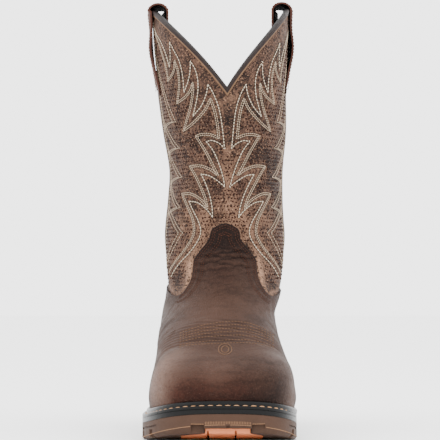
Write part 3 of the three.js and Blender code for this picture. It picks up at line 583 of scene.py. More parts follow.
# A Geometry Nodes group that puts one small shape on every vertex of a mesh, turned by the
# vertex attributes "along" and "normal"
def repeatTree(name, kind, sizes):
    tree = bpy.data.node_groups.new(name, "GeometryNodeTree")
    face = tree.interface
    for way in ("INPUT", "OUTPUT"):
        face.new_socket("Geometry", in_out=way, socket_type="NodeSocketGeometry")
    for label, default in (("Length", 0.002), ("Width", 0.001), ("Height", 0.001),
                           ("Variation", 0.08)):
        socket = face.new_socket(label, in_out="INPUT", socket_type="NodeSocketFloat")
        socket.default_value = default
    face.new_socket("Seed", in_out="INPUT", socket_type="NodeSocketInt").default_value = 3
    face.new_socket("Material", in_out="INPUT", socket_type="NodeSocketMaterial")

    # adds a node; its inputs are sockets of other nodes or plain values
    def add(kind, inputs=None, **settings):
        node = tree.nodes.new(kind)
        for key, value in settings.items():
            setattr(node, key, value)
        for key, value in (inputs or {}).items():
            if isinstance(value, bpy.types.NodeSocket):
                tree.links.new(value, node.inputs[key])
            else:
                node.inputs[key].default_value = value
        return node

    def direction(label):
        node = add("GeometryNodeInputNamedAttribute", data_type="FLOAT_VECTOR")
        node.inputs["Name"].default_value = label
        return node.outputs["Attribute"]

    start, end = add("NodeGroupInput").outputs, add("NodeGroupOutput")
    form = add(kind, sizes)
    size = {axis: start[label] for axis, label in zip("XYZ", ("Length", "Width", "Height"))}
    size = add("ShaderNodeCombineXYZ", size)
    inputs = {"Geometry": form.outputs["Mesh"], "Scale": size.outputs[0]}
    scaled = add("GeometryNodeTransform", inputs)
    turned = add("FunctionNodeAlignRotationToVector", {"Vector": direction("along")},
                 axis="X", pivot_axis="AUTO")
    inputs = {"Vector": direction("normal"), "Rotation": turned.outputs[0]}
    turned = add("FunctionNodeAlignRotationToVector", inputs, axis="Z", pivot_axis="X")
    least = add("ShaderNodeMath", {0: 1.0, 1: start["Variation"]}, operation="SUBTRACT")
    spread = add("FunctionNodeRandomValue", {"Seed": start["Seed"]}, data_type="FLOAT")
    lower, upper = [socket for socket in spread.inputs if socket.type == "VALUE"][:2]
    tree.links.new(least.outputs[0], lower)
    upper.default_value = 1.0
    drawn = [socket for socket in spread.outputs if socket.type == "VALUE"][0]
    points = add("GeometryNodeMeshToPoints", {"Mesh": start["Geometry"]})
    inputs = {"Points": points.outputs[0], "Instance": scaled.outputs[0],
              "Rotation": turned.outputs[0], "Scale": drawn}
    placed = add("GeometryNodeInstanceOnPoints", inputs)
    real = add("GeometryNodeRealizeInstances", {"Geometry": placed.outputs[0]})
    smoothed = add("GeometryNodeSetShadeSmooth", {"Geometry": real.outputs[0]})
    inputs = {"Geometry": smoothed.outputs[0], "Material": start["Material"]}
    dressed = add("GeometryNodeSetMaterial", inputs)
    tree.links.new(dressed.outputs[0], end.inputs[0])
    return tree


capsules = repeatTree("capsules", "GeometryNodeMeshUVSphere",
                      {"Segments": 8, "Rings": 5, "Radius": 0.5})
studs = repeatTree("studs", "GeometryNodeMeshCone",
                   {"Vertices": 10, "Radius Top": 0.3, "Radius Bottom": 0.5, "Depth": 1.0})


def repeat(name, tree, points, along, normal, material, slotName, size, **settings):
    obj, mesh = meshObject(name, points, [])
    for label, vectors in (("along", along), ("normal", normal)):
        values = np.ascontiguousarray(vectors, dtype=np.float32).ravel()
        mesh.attributes.new(label, "FLOAT_VECTOR", "POINT").data.foreach_set("vector", values)
    modifier = obj.modifiers.new("repeat", "NODES")
    modifier.node_group = tree
    settings.update(zip(("Length", "Width", "Height"), (side * mm for side in size)))
    settings["Material"] = material
    for item in tree.interface.items_tree:
        if item.in_out == "INPUT" and item.name in settings:
            modifier[item.identifier] = settings[item.name]
    bake(obj)
    return keep(obj, slotName)


# Even places along a line of points, with the line's direction and the normal there
def stations(line, normals, pitch):
    steps = np.linalg.norm(np.diff(line, axis=0), axis=1)
    length = np.concatenate([[0.0], np.cumsum(steps)])
    count = max(1, int(length[-1] / pitch))
    places = (np.arange(count) + 0.5) * length[-1] / count

    def at(values, where):
        return np.stack([np.interp(where, length, values[:, k]) for k in range(3)], -1)

    along = unit(at(line, places + pitch * 0.3) - at(line, places - pitch * 0.3))
    return at(line, places), along, unit(at(normals, places))


# A stitched line for each (points, normals) pair; a stitch is a capsule half sunk in the leather
def stitches(name, lines, thread, slotName, pitch, length, thick, sink):
    parts = [stations(line, normals, pitch) for line, normals in lines]
    points, along, normal = (np.concatenate(group) for group in zip(*parts))
    places = points + normal * (thick * 0.5 - sink)
    return repeat(name, capsules, places, along, normal, thread, slotName, (length, thick, thick))


# A smooth curve through the rows of a table, with a corner where the third column says so
def curveThrough(table, steps=8):
    rows = np.array(table, float)
    corners = [0, *[i for i in range(1, len(rows) - 1) if rows[i, 2]], len(rows) - 1]
    pieces = []
    t = np.linspace(0, 1, steps, endpoint=False)[:, None]
    for first, last in zip(corners, corners[1:]):
        part = rows[first:last + 1, :2]
        part = np.concatenate([[2 * part[0] - part[1]], part, [2 * part[-1] - part[-2]]])
        for a, b, c, d in zip(part, part[1:], part[2:], part[3:]):
            cubic = 2 * a - 5 * b + 4 * c - d + t * (3 * (b - c) + d - a)
            pieces.append(b + 0.5 * t * (c - a + t * cubic))
    pieces.append(rows[-1:, :2])
    return np.concatenate(pieces)


# A path of (turn, height) laid on the boot: its points and their normals
def onBoot(path, lift=0.0):
    level = levelAtHeight(path[:, 0], path[:, 1])
    return wallPoint(path[:, 0], level, lift), wallNormal(path[:, 0], level)


# The same line moved sideways along the surface
def beside(path, distance):
    line, normals = onBoot(path)
    along = unit(np.gradient(line, axis=0))
    return line + unit(np.cross(normals, along)) * distance, normals


# A path moved along the surface to its left, still as turns and heights
def shifted(path, distance):
    def at(turn, height):
        return lastPoint(turn, levelAtHeight(turn, height))
    turn, height = path.T
    wide = np.linalg.norm(at(turn + 1, height) - at(turn - 1, height), axis=-1) / 2
    tall = np.linalg.norm(at(turn, height + 1) - at(turn, height - 1), axis=-1) / 2
    along = unit(np.stack([np.gradient(turn) * wide, np.gradient(height) * tall], -1))
    aside = [turn - along[:, 1] * distance / wide, height + along[:, 0] * distance / tall]
    return np.stack(aside, -1)


# The sole's edge: even turns round the front, closer ones round the heel
quarter, rightAngle, straight = (
    np.linspace(0, end, 72, endpoint=False) for end in (90, np.pi / 2, 1))
rear = 90 + np.degrees(np.arcsin(0.55 * straight + 0.45 * np.sin(rightAngle)))
soleTurns = np.concatenate([quarter, rear])
soleTurns = np.concatenate([soleTurns, [180.0], -soleTurns[:0:-1]])


def edgeOffset(turn):
    side, ahead = np.sin(np.radians(turn)), np.cos(np.radians(turn))
    sides = np.where(side > 0, flangeInner, flangeOuter)
    ends = np.where(ahead > 0, flangeToe, flangeHeel)
    return proud + mix(ends, sides, side * side)


def soleRing(offset, heightOver, turns=soleTurns):
    point = wallPoint(turns, np.zeros(len(turns)), offset)
    point[:, 2] = heightOver(backOf(point))
    return point


# A box turned about its middle, given by its place across, its width and its backs and heights
def block(x, width, backFrom, backTo, low, high, turn=0.0):
    corners = []
    sine, cosine = math.sin(math.radians(turn)), math.cos(math.radians(turn))
    middle = (backFrom + backTo) / 2 - soleLength / 2
    for height in (low, high):
        for cx, cy in ((-1, -1), (1, -1), (1, 1), (-1, 1)):
            dx, dy = cx * width / 2, cy * (backTo - backFrom) / 2
            corners.append((x + dx * cosine - dy * sine, middle + dx * sine + dy * cosine, height))
    faces = [(3, 2, 1, 0), (4, 5, 6, 7), (0, 1, 5, 4), (1, 2, 6, 5), (2, 3, 7, 6), (3, 0, 4, 7)]
    return addObject("cutter", corners, faces, [])


edge = edgeOffset(soleTurns)
around = np.cos(np.radians(soleTurns))

# Midsole and welt: glossy black rubber, with a groove for the stitches and a raised rim
midsole = slab("midsoleLayer", [
    soleRing(edge - 0.25, lambda back: outsoleTop(back) + 0.02),
    soleRing(edge, lambda back: outsoleTop(back) + 0.3),
    soleRing(edge, lambda back: soleTop(back) - 0.1),
    soleRing(edge - 0.3, lambda back: soleTop(back) + 0.12),
], weltRubber)
keep(midsole, "midsole_rubber", "midsole")

# distance out from the sole's edge, height over the sole line
weltRim = [(-0.3, 0.1), (0.0, 0.35), (0.0, 2.0), (-0.25, 2.45), (-0.7, 2.65)]
# distance out from the upper, height; the flange is narrower than the rib on the inner side, so
# the rib's foot stays inside it
weltRib = [
    (3.7, 2.55), (3.2, 2.7), (3.0, 3.3), (2.9, 4.6), (2.5, 5.7), (1.8, 6.4), (1.0, 6.7),
    (0.1, 6.6), (-0.5, 5.9), (-0.6, 0.1),
]
corners = [(0.0, edge + distance, height) for distance, height in weltRim]
for distance, height in weltRib:
    offset = np.minimum(proud + distance, edge - 0.75 + 0.02 * height)
    corners.append((height / 7.0, offset, height))
sections = []
for level, offset, height in corners:
    point = wallPoint(soleTurns, np.full(len(soleTurns), level), offset)
    point[:, 2] = soleTop(backOf(point)) + height
    sections.append(point)
welt = sweep("weltRim", np.stack(sections, 1), weltRubber, True, angle=50)
keep(welt, "midsole_rubber", "welt")
weltTurns = np.sort(soleTurns[np.abs(soleTurns) < 152])
seatOut = np.minimum(proud + 4.3, edgeOffset(weltTurns) - 1.1)
weltLine = soleRing(seatOut, lambda back: soleTop(back) + 2.5, weltTurns)
upward = np.tile([0.0, 0.0, 1.0], (len(weltTurns), 1))
stitches("weltStitches", [(weltLine, upward)], tanThread, "midsole_rubber", 6.3, 4.5, 1.15, 0.25)
print("midsole and welt made")

# Outsole
toeCentre = featherCentre + 1.3 * toeSwing
pocket = {"front": 9.0, "back": 141.0, "nose": 15.0, "noseWidth": 33.0, "width": 61.0, "rows": 6}
heelBreast = soleLength - 74.0
lugs = {
    "groove": 5.0, "back": 160.0, "bevel": 1.2, "toeBevel": 3.3, "slotHalf": 0.7, "slotDepth": 1.1,
}
notch = {"out": 22.25, "width": 9.5, "drop": 1.2, "end": pocket["front"] - 2.5}
toeBlock = {"width": 35.5, "raise": 2.6, "split": 2.6, "splitDrop": 2.2, "splitBack": 3}
under = -12  # well below the floor and in front of the toe, for cutters


def pocketHalf(back):
    opening = smooth((back - pocket["front"]) / pocket["nose"])
    closing = np.clip((pocket["back"] - back) / 8, 0, 1)
    return mix(pocket["noseWidth"], pocket["width"], opening) / 2 * mix(0.86, 1, closing)


def pocketCentre(back):
    return mix(toeCentre, featherCentre, smooth((back - pocket["front"]) / pocket["nose"]))


# A bar from front to back between two faces; its half width and middle may vary on the way
def bar(name, start, end, halfAt, middleAt, highOver, low, material=soleRubber):
    back = np.linspace(start, end, 40)
    half, middle, high, low = (back * 0 + part for part in (
        halfAt(back), middleAt(back), highOver(back), low(back)))
    y = back - soleLength / 2
    corners = [(half, high), (-half, high), (-half, low), (half, low)]
    grid = np.stack([np.stack([middle + out, y, z], -1) for out, z in corners], 1)
    return sweep(name, grid, material, False, angle=sharpAngle)


def edgeSlot(turnFrom, turnTo, share):
    turns = np.linspace(min(turnFrom, turnTo), max(turnFrom, turnTo), 24)
    depth = outsoleThickness * share
    rings = []
    half, deep = lugs["slotHalf"], -lugs["slotDepth"]
    for out, up in ((1.0, -half), (1.0, half), (deep, half), (deep, -half)):
        offset = edgeOffset(turns) + out
        rings.append(soleRing(offset, lambda back: outsoleTop(back) - depth + up, turns))
    return sweep("cutter", np.stack(rings, 1), soleRubber, False)


toeShare = np.maximum(0, around) ** 2
tread = slab("tread", [
    soleRing(edge - 0.8 - 4.0 * toeShare, soleRise),
    soleRing(edge, lambda back: soleRise(back) + (lugs["bevel"] + lugs["toeBevel"] * toeShare)),
    soleRing(edge, lambda back: plateBottom(back) + 1),
], soleRubber)
carve(tread, [block(0, 2 * ballWidth, lugs["back"], soleLength + 20, -60, 90)])
outsole = slab("outsoleRubber", [
    soleRing(edge, plateBottom),
    soleRing(edge, lambda back: outsoleTop(back) - 0.35),
    soleRing(edge - 0.3, outsoleTop),
], soleRubber)
carve(outsole, [tread], "UNION")
cutters = []
padPitch = (pocket["back"] - pocket["front"]) / pocket["rows"]
toeRoof = float(plateBottom(0))
inner = pocket["width"] / 2 - 1
reach = ballWidth / 2 + 12 - inner
for side in (-1, 1):
    for row in (1.1, 2.1, 3.1, 4.1, 5.1, 6.1):
        back = pocket["front"] + row * padPitch
        span = (back - lugs["groove"] / 2, back + lugs["groove"] / 2)
        roof = float(plateBottom(back))
        cutters.append(block(side * (inner + reach / 2), reach, *span, under, roof, side * 10))
    place = toeCentre + side * notch["out"]
    roof = toeRoof - notch["drop"]
    cutters.append(block(place, notch["width"], under, notch["end"], under, roof))
    for first, last, share in ((48, 76, 0.36), (86, 98, 0.36), (132, 158, 0.3)):
        cutters.append(edgeSlot(side * first, side * last, share))
roof = toeRoof - toeBlock["splitDrop"]
cutters.append(block(toeCentre, toeBlock["split"], under, toeBlock["splitBack"], under, roof))
# the toe block's lower edge is cut away, so that the first pad shows
roof = float(soleRise(4)) + toeBlock["raise"]
cutters.append(block(toeCentre, toeBlock["width"], under, pocket["front"] + 0.3, under, roof))
cutters.append(bar("cutter", pocket["front"], pocket["back"], pocketHalf, pocketCentre, plateBottom,
                   lambda back: under))
carve(outsole, cutters)
keep(outsole, "outsole_rubber", "outsole")

# Painted highlights: pale rubber along the bevelled edges of the front lugs, and on fine ribs on the
# block between the two notches
frontTurns = np.linspace(-84, 84, 337)
frontEdge = soleRing(edgeOffset(frontTurns) - 0.05, soleRise, frontTurns)
frontEdge[:, 2] += lugs["bevel"] + lugs["toeBevel"] * np.cos(np.radians(frontTurns)) ** 2
fromMiddle = frontEdge[:, 0] - toeCentre
outward = wallNormal(frontTurns, np.zeros(len(frontTurns)))


def frontFace(x, column):
    return np.interp(x, fromMiddle, frontEdge[:, column])


edgeLines = []
for low, high in ((-70, -27.4), (-17.2, -1.6), (1.6, 17.2), (27.4, 70)):
    inside = (fromMiddle > low) & (fromMiddle < high)
    edgeLines.append((frontEdge[inside], outward[inside]))
ahead = np.array([0.0, -1.0, 0.0])
for side in (-1, 1):
    x = side * (notch["out"] + np.linspace(-4.7, 4.7, 12))
    roof = np.full(12, toeRoof - notch["drop"] + 0.2)
    line = np.stack([toeCentre + x, frontFace(x, 1) + 0.05, roof], -1)
    edgeLines.append((line, np.tile(ahead, (12, 1))))
stitches("lugEdges", edgeLines, wornRubber, "outsole_rubber", 1.6, 2.4, 0.75, 0.5)
ribs = np.linspace(-16.4, 16.4, 29)
ribPlaces = np.stack([toeCentre + ribs, frontFace(ribs, 1), frontFace(ribs, 2) + 1.6], -1)
repeat("toeRibs", capsules, ribPlaces, np.tile([0.0, 0.0, 1.0], (29, 1)), np.tile(ahead, (29, 1)),
       wornRubber, "outsole_rubber", (2.6, 0.55, 0.4))

# Orange pads
padInset = 0.35
padGroove = 1.1
pads = bar("forefootPads", pocket["front"] + 0.4, pocket["back"] - 0.4,
           lambda back: pocketHalf(back) - padInset, pocketCentre,
           lambda back: plateBottom(back) - 0.2, soleRise, treadRubber)
cutters = []
for row in range(1, pocket["rows"]):
    back = pocket["front"] + row * padPitch
    roof = float(soleRise(back)) + 2.4
    cutters.append(block(0, ballWidth, back - padGroove, back + padGroove, under, roof))
for column in (1, 2):
    x = featherCentre + (column - 1.5) * pocket["width"] / 3
    cutters.append(bar("cutter", 0, pocket["back"] + 10, lambda back: 0.7, lambda back: x,
                       lambda back: soleRise(back) + 2.0, lambda back: under))
carve(pads, cutters)
keep(pads, "tread_rubber", "forefoot_tread_insert")
print("outsole made")

# Heel
heelRoof = float(plateBottom(soleLength))
liftHeight = 9
heelField = {"front": 18, "back": 16, "width": 40, "rim": 19, "slot": 4, "slotRoof": 5}
heelGrooveRise = 1.9


def heelInset(height):
    return mix(2.5, 0.6, height / heelRoof)


def heelSlab(name, rings):
    level = [soleRing(edge - inset, lambda back: height + back * 0) for inset, height in rings]
    return carve(slab(name, level, soleRubber), [block(0, 2 * ballWidth, -20, heelBreast, -5, 60)])


rings = []
for index, height in enumerate(np.linspace(liftHeight + 0.3, heelRoof - 0.3, 4)):
    inset = heelInset(height)
    if 0 < index < 3:  # a groove round the heel
        for deeper, up in ((0, -0.5), (0.8, -0.3), (0.8, 0.3), (0, 0.5)):
            rings.append((inset + deeper, height + up))
    else:
        rings.append((inset, height))
heelBase = heelSlab("heelBlock", rings)
rampHigh = float(plateBottom(archBack)) - 3
carve(heelBase, [block(0, 2 * ballWidth, heelBreast - 1, archBack + 4, rampHigh, 60)])
keep(heelBase, "outsole_rubber", "heel_base")
rings = [(heelInset(0) + 0.5, 0), (heelInset(0), 0.6), (heelInset(liftHeight), liftHeight)]
heelLift = heelSlab("heelTopPiece", rings)
heelFrom, heelTo = heelBreast + heelField["front"], soleLength - heelField["back"]
slotWidth, slotRoof = heelField["slot"], heelField["slotRoof"]
roof = liftHeight - 2.5 + 0.4
cutters = [block(featherCentre, heelField["width"], heelFrom, heelTo, under, roof)]
reach = ballWidth / 2 - heelField["rim"]
for side in (-1, 1):
    place = featherCentre + side * (heelField["rim"] + reach / 2)
    for share in (0.15, 0.5, 0.85):
        back = mix(heelFrom, heelTo, share)
        span = (back - slotWidth / 2, back + slotWidth / 2)
        cutters.append(block(place, reach, *span, under, slotRoof, side * 8))
    place = featherCentre + side * 10
    cutters.append(block(place, slotWidth, heelTo - 1, soleLength + 12, under, slotRoof))
cutters.append(block(featherCentre, slotWidth, heelBreast - 12, heelFrom + 1, under, slotRoof))
carve(heelLift, cutters)
keep(heelLift, "outsole_rubber", "heel_lift")
heelPads = block(featherCentre, heelField["width"] - 1, heelFrom + 0.5, heelTo - 0.5, 0, roof - 0.3)
heelPads.name = "heelPads"
heelPads.data.materials.append(treadRubber)
pitch = (heelTo - heelFrom + 1.2) / 3
cutters = [block(featherCentre, 2 * padGroove, 0, 400, under, roof - heelGrooveRise)]
for row in (1, 2):
    back = heelFrom + row * pitch - 0.6
    span = (back - padGroove, back + padGroove)
    cutters.append(block(0, 90, *span, under, roof - heelGrooveRise))
carve(heelPads, cutters)
keep(heelPads, "tread_rubber", "heel_tread_insert")
print("heel made")

# Insole
insoleInset = -(wall + 0.5)
footbed = slab("footbed", [
    soleRing(insoleInset, lambda back: soleTop(back) + 0.3),
    soleRing(insoleInset, lambda back: soleTop(back) + 3.6),
    soleRing(insoleInset - 1.0, lambda back: soleTop(back) + 4.3),
], footbedFabric)
keep(footbed, "footbed", "insole")

# Upper: the shaft's outer face and the lining
seamFoot = 225.0


# The side seam runs from a place on the foot up to the shaft's side
def seamTurn(level, side):
    target = mix(seamFoot, levels[kneeLevel + 1][3], smooth(level / kneeLevel))
    low = np.abs(turnAtBack(target, np.maximum(0, level), side))
    return np.where(level >= kneeLevel, 90.0, low)


# Stitched pattern of the shaft, one half of the front; the other half and the back mirror it.
# Columns: turn from the front in degrees, height above the floor, 1 at a corner.
flameRow = [
    (86, 331, 1), (77, 322, 0), (67.2, 314, 0), (60, 303.5, 0), (55.6, 291.6, 1), (53.6, 300, 0),
    (53.4, 311.9, 1), (49, 305, 0), (43.4, 295.6, 0), (40.6, 283.2, 0), (40.2, 270.5, 1),
    (35.5, 278.8, 0), (33.0, 286.8, 0), (32.2, 294.9, 1), (28.1, 288.3, 0), (25.9, 278.4, 0),
    (27.2, 266.3, 0), (32.5, 251, 1), (23.9, 258.9, 0), (18.7, 268.5, 0), (17.0, 276.2, 1),
    (12.2, 268.4, 0), (8.1, 257.8, 0), (5.7, 245.6, 0), (3.4, 225, 1), (8.0, 228.8, 0),
    (14.8, 231.3, 0), (20.7, 230.6, 1), (14.1, 222.7, 0), (8.4, 211.3, 0), (4.6, 201.5, 0),
    (2.6, 194.2, 1), (10.2, 199.1, 0), (18.7, 203.2, 0), (27.4, 204.6, 1), (22.8, 197.6, 0),
    (17.8, 188.5, 0), (14.3, 178.7, 0), (12.9, 169.7, 1), (18.7, 175.5, 0), (29.1, 181.6, 0),
    (40.1, 183.2, 1), (33.6, 174.8, 0), (27.2, 166.5, 0), (24.2, 158.3, 0), (27.5, 150.2, 0),
    (36.1, 141.2, 0), (49, 132.3, 0), (64, 122, 0),
]
echoRow = [
    (80, 322, 0), (71.7, 313.5, 0), (64.3, 300.6, 0), (60.4, 290, 0), (59.5, 281.3, 1),
    (53.7, 284.9, 0), (49.6, 290, 0), (48.6, 296, 1), (45.4, 287.5, 0), (45.2, 275.2, 0),
    (49.2, 262.4, 1), (39.6, 266.6, 0), (33.4, 272, 0), (31.1, 277.4, 1), (31.2, 270.5, 0),
    (34.9, 257.4, 0), (43.8, 240, 1), (32.1, 246.1, 0), (20.8, 255.5, 0), (15.1, 264.4, 1),
    (11.9, 255.4, 0), (9.9, 245.6, 0), (8.6, 233.2, 1), (16, 235.8, 0), (24, 236.4, 0),
    (30.6, 235.1, 1), (26, 228.6, 0), (21.3, 221.8, 0), (16.2, 213, 0), (10.3, 203.8, 1),
    (17.7, 208.2, 0), (28.3, 211.2, 0), (40.4, 211.1, 1), (34.0, 203.5, 0), (26.8, 193.2, 0),
    (22, 185.4, 0), (19.1, 177.6, 1), (26.1, 184.0, 0), (38, 188.9, 0), (50.3, 189.2, 1),
    (42.9, 180.6, 0), (34.7, 169.9, 0), (31.4, 159.2, 0), (34.6, 151.4, 0), (42.4, 143.1, 0),
    (54.6, 134.4, 0), (69, 126, 0),
]
# Crescents that grow out of the side seam: turn and height of the tip, where each end meets the
# seam above and below it
crescents = [
    {"tip": (53.6, 247.9), "above": 62.0, "below": -6.0, "belly": 9.0},
    {"tip": (52.9, 226.6), "above": 32.0, "below": -5.0, "belly": 5.0},
    {"tip": (52.6, 203.1), "above": 30.0, "below": -5.0, "belly": 5.0},
    {"tip": (52.2, 178.6), "above": 27.0, "below": -7.0, "belly": 5.0},
    {"tip": (45.6, 157.7), "above": 25.0, "below": -34.0, "belly": -3.0},
]
seamRows = [83.5, 86.0]


def crescentTable(shape, inset):
    turn, height = shape["tip"]
    turn += inset * 1.4
    upper = height + shape["above"] - inset * 1.2
    lower = height + shape["below"] + inset * (0.4 if shape["below"] > -20 else 1.6)
    bend = shape["belly"]
    return [
        (86, upper, 0), (mix(86, turn, 0.45), mix(upper, height, 0.42) - bend * 0.5, 0),
        (mix(86, turn, 0.8), mix(upper, height, 0.8) - bend * 0.25, 0), (turn, height, 1),
        (mix(turn, 86, 0.4), mix(height, lower, 0.45) + bend * 0.15, 0), (86, lower, 0),
    ]


halves = [(curveThrough(flameRow), "bright"), (curveThrough(echoRow), "echo")]
for shape in crescents:
    for inset in (0.0, 4.0):
        halves.append((curveThrough(crescentTable(shape, inset)), "side"))
for turn in seamRows:
    halves.append((curveThrough([(turn, 332, 0), (turn, 230, 0), (turn, 124, 0)], 40), "side"))
flame = halves[0][0]
pattern = {"underCollar": 7.5, "backFoot": 131, "echoHalf": 0.75}

patternLines = {"bright": [], "echo": [], "side": []}
for path, kind in halves:
    for back in (False, True):
        for side in (1, -1):
            turn = side * (180 - path[:, 0] if back else path[:, 0])
            placed = np.stack([turn, path[:, 1]], -1)
            placed = placed[placed[:, 1] < collarAt(placed[:, 0]) - pattern["underCollar"]]
            if back:
                foot = pattern["backFoot"] - 0.2 * np.abs(180 - np.abs(placed[:, 0]))
                placed = placed[placed[:, 1] > foot]
            if len(placed) < 3:
                continue
            if kind == "echo":
                patternLines[kind] += [beside(placed, way * pattern["echoHalf"]) for way in (-1, 1)]
            else:
                patternLines[kind].append(onBoot(placed))


# Distance from points to the nearest of some lines, in millimetres
def distanceTo(points, lines):
    dense = np.concatenate([stations(line, normals, 0.8)[0] for line, normals in lines])
    tree = KDTree(len(dense))
    for number, place in enumerate(dense):
        tree.insert(place, number)
    tree.balance()
    flat = points.reshape(-1, 3)
    return np.array([tree.find(place)[2] for place in flat]).reshape(points.shape[:-1])


# Soft marks in the leather, dark patches of its own tone where the amount is below 0 and painted
# highlights where it is above 0: turn, height, spread in degrees, spread in millimetres, amount
shaftMarks = [
    (2, 264, 7, 7, 0.45), (1, 246, 5, 12, -0.6), (0, 208, 9, 14, 0.35), (2, 178, 12, 12, 0.5),
    (20, 160, 8, 16, 0.55), (-20, 158, 9, 16, 0.6), (34, 128, 9, 14, 0.7),
    (-34, 128, 9, 14, 0.7), (-50, 116, 7, 9, -0.6), (48, 116, 6, 9, -0.35),
    (-18, 283, 6, 10, -0.45), (30, 302, 6, 10, -0.5), (-25, 248, 8, 9, -0.5),
    (-33, 232, 9, 10, -0.35), (28, 225, 9, 11, -0.4), (40, 220, 9, 9, -0.45),
    (-13, 192, 8, 6, -0.5), (15, 190, 6, 6, -0.4), (-34, 196, 6, 6, -0.4),
    (-62, 230, 8, 12, -0.35), (60, 226, 7, 12, -0.4), (-58, 196, 8, 9, -0.3),
    (-52, 298, 9, 14, -0.2), (52, 270, 9, 14, 0.2), (-45, 262, 8, 10, -0.25),
    (-30, 268, 6, 8, -0.6), (-38, 292, 7, 7, -0.5), (22, 262, 6, 9, -0.6),
    (34, 282, 8, 8, -0.55), (12, 236, 6, 6, -0.5), (-16, 222, 6, 6, -0.45),
    (-42, 214, 7, 8, -0.5), (38, 246, 7, 8, -0.5), (50, 196, 8, 8, -0.45), (44, 170, 7, 6, 0.4),
    (-46, 168, 8, 8, 0.4), (-26, 186, 6, 6, -0.4), (28, 186, 6, 6, -0.35), (-10, 158, 8, 5, 0.4),
    (10, 163, 8, 6, 0.4), (160, 250, 20, 20, -0.3), (-150, 200, 16, 20, 0.3),
    (175, 170, 16, 16, 0.35),
]

# The vamp's edge, as an even path of turns and heights
vampEdge = [
    # turn from the front, share of the tongue's height
    (0, 1), (6.4, 0.99), (12.2, 0.974), (13.9, 0.955), (14.4, 0.923), (18.4, 0.896),
    (22.4, 0.871), (26, 0.847), (29.4, 0.823), (30.2, 0.8), (30.4, 0.779), (31, 0.752),
    (32.6, 0.724), (36, 0.695), (41.2, 0.668), (46.4, 0.651), (52.4, 0.644), (59, 0.652),
    (67, 0.668), (77, 0.69), (90, 0.71),
]
edgeTurn, edgeShare = np.array(vampEdge).T
vampColumns = 150
edgeLine = np.stack([edgeTurn, edgeShare * tongueHeight], -1)
edgeSteps = np.linalg.norm(np.diff(edgeLine, axis=0), axis=1)
edgeSteps = np.concatenate([[0.0], np.cumsum(edgeSteps)])
along = np.linspace(0, edgeSteps[-1], vampColumns + 1)
edgeAt, heightAt = (np.interp(along, edgeSteps, edgeLine[:, k]) for k in range(2))
for _ in range(3):  # rounds the corners a little
    for values in (edgeAt, heightAt):
        values[1:-1] = (values[:-2] + 2 * values[1:-1] + values[2:]) / 4
outerHalf, innerHalf = (np.stack([side * edgeAt, heightAt], -1) for side in (-1, 1))
edgePath = np.concatenate([outerHalf[::-1], innerHalf[1:]])

skin = {"foot": 90.0, "sunk": 0.35, "columns": 340, "rows": 236}
shaftTurns = np.linspace(-180, 180, skin["columns"] + 1)[:-1]
turns, shares = np.meshgrid(shaftTurns, np.linspace(0, 1, skin["rows"]), indexing="ij")
heights = mix(skin["foot"], collarAt(turns), shares)
shaftLevels = levelAtHeight(turns, heights)
bare = lastPoint(turns, shaftLevels)
nearKind = {kind: distanceTo(bare, lines) for kind, lines in patternLines.items()}
nearBright, nearEcho = nearKind["bright"], nearKind["echo"]
nearAny = np.minimum.reduce(list(nearKind.values()))
# the thread pulls a groove, and the leather swells between the rows
relief = 0.55 * (1 - bell(nearAny, 2.4)) - 0.5 * bell(nearAny, 0.9)
relief += 0.45 * bell(nearBright - 3.2, 2.2) * (nearBright + nearEcho < 9)
# soft folds where the ankle bends: height, slant, turn, half width, amount
ankleFolds = [
    (152, 6, 150, 40, 1.0), (166, -8, 165, 44, 0.8), (140, 10, -160, 40, 1.0),
    (158, -6, -140, 36, 0.8), (178, 8, 118, 30, 0.6), (176, -8, -112, 30, 0.6),
    (192, 4, 180, 46, 0.5),
]
for height, slant, turn, half, amount in ankleFolds:
    away = wrapped(turns - turn) / half
    below = heights - (height + slant * away)
    relief += amount * np.exp(-away ** 4) * (bell(below - 3.5, 3.2) - 1.2 * bell(below, 2.0))
# the shaft puffs up in lobes beside the tongue
nearVamp = distanceTo(bare, [onBoot(edgePath)])
lobes = smooth((np.abs(turns) - 24) / 12) * smooth((72 - np.abs(turns)) / 8)
relief += 1.1 * lobes * bell(nearVamp - 3.6, 3.0)
relief *= smooth((collarAt(turns) - heights - 3) / 6)
# painted highlight on the puffed lobes beside the tongue
shaftShade = 0.6 * lobes * bell(nearVamp - 2.6, 2.2)
# painted highlight on the swells beside the stitch rows, painted shade in their grooves
shaftShade += 0.25 * bell(nearAny - 2.0, 1.4) - 0.35 * bell(nearAny, 0.9)
for turn, height, wide, tall, amount in shaftMarks:
    away = wrapped(turns - turn)
    shaftShade += amount * bell(away, wide) * bell(heights - height, tall)
shaftFace = wallPoint(turns, shaftLevels, relief - skin["sunk"])
shaft = sheet("shaftSkin", shaftFace, shaftLeather, True, shaftShade)
keep(shaft, "shaft_leather", "upper")
print("shaft skin made")

# thread, pitch, length and thickness of the stitches
patternStyle = {
    "bright": (creamThread, 2.5, 2.3, 0.85),
    "echo": (paleThread, 1.9, 1.7, 0.75),
    "side": (paleThread, 2.4, 2.1, 0.7),
}
for kind, (thread, pitch, length, thick) in patternStyle.items():
    stitches("shaftStitches" + kind.capitalize(), patternLines[kind], thread, "shaft_leather",
             pitch, length, thick, 0.3)
print("shaft stitches made")

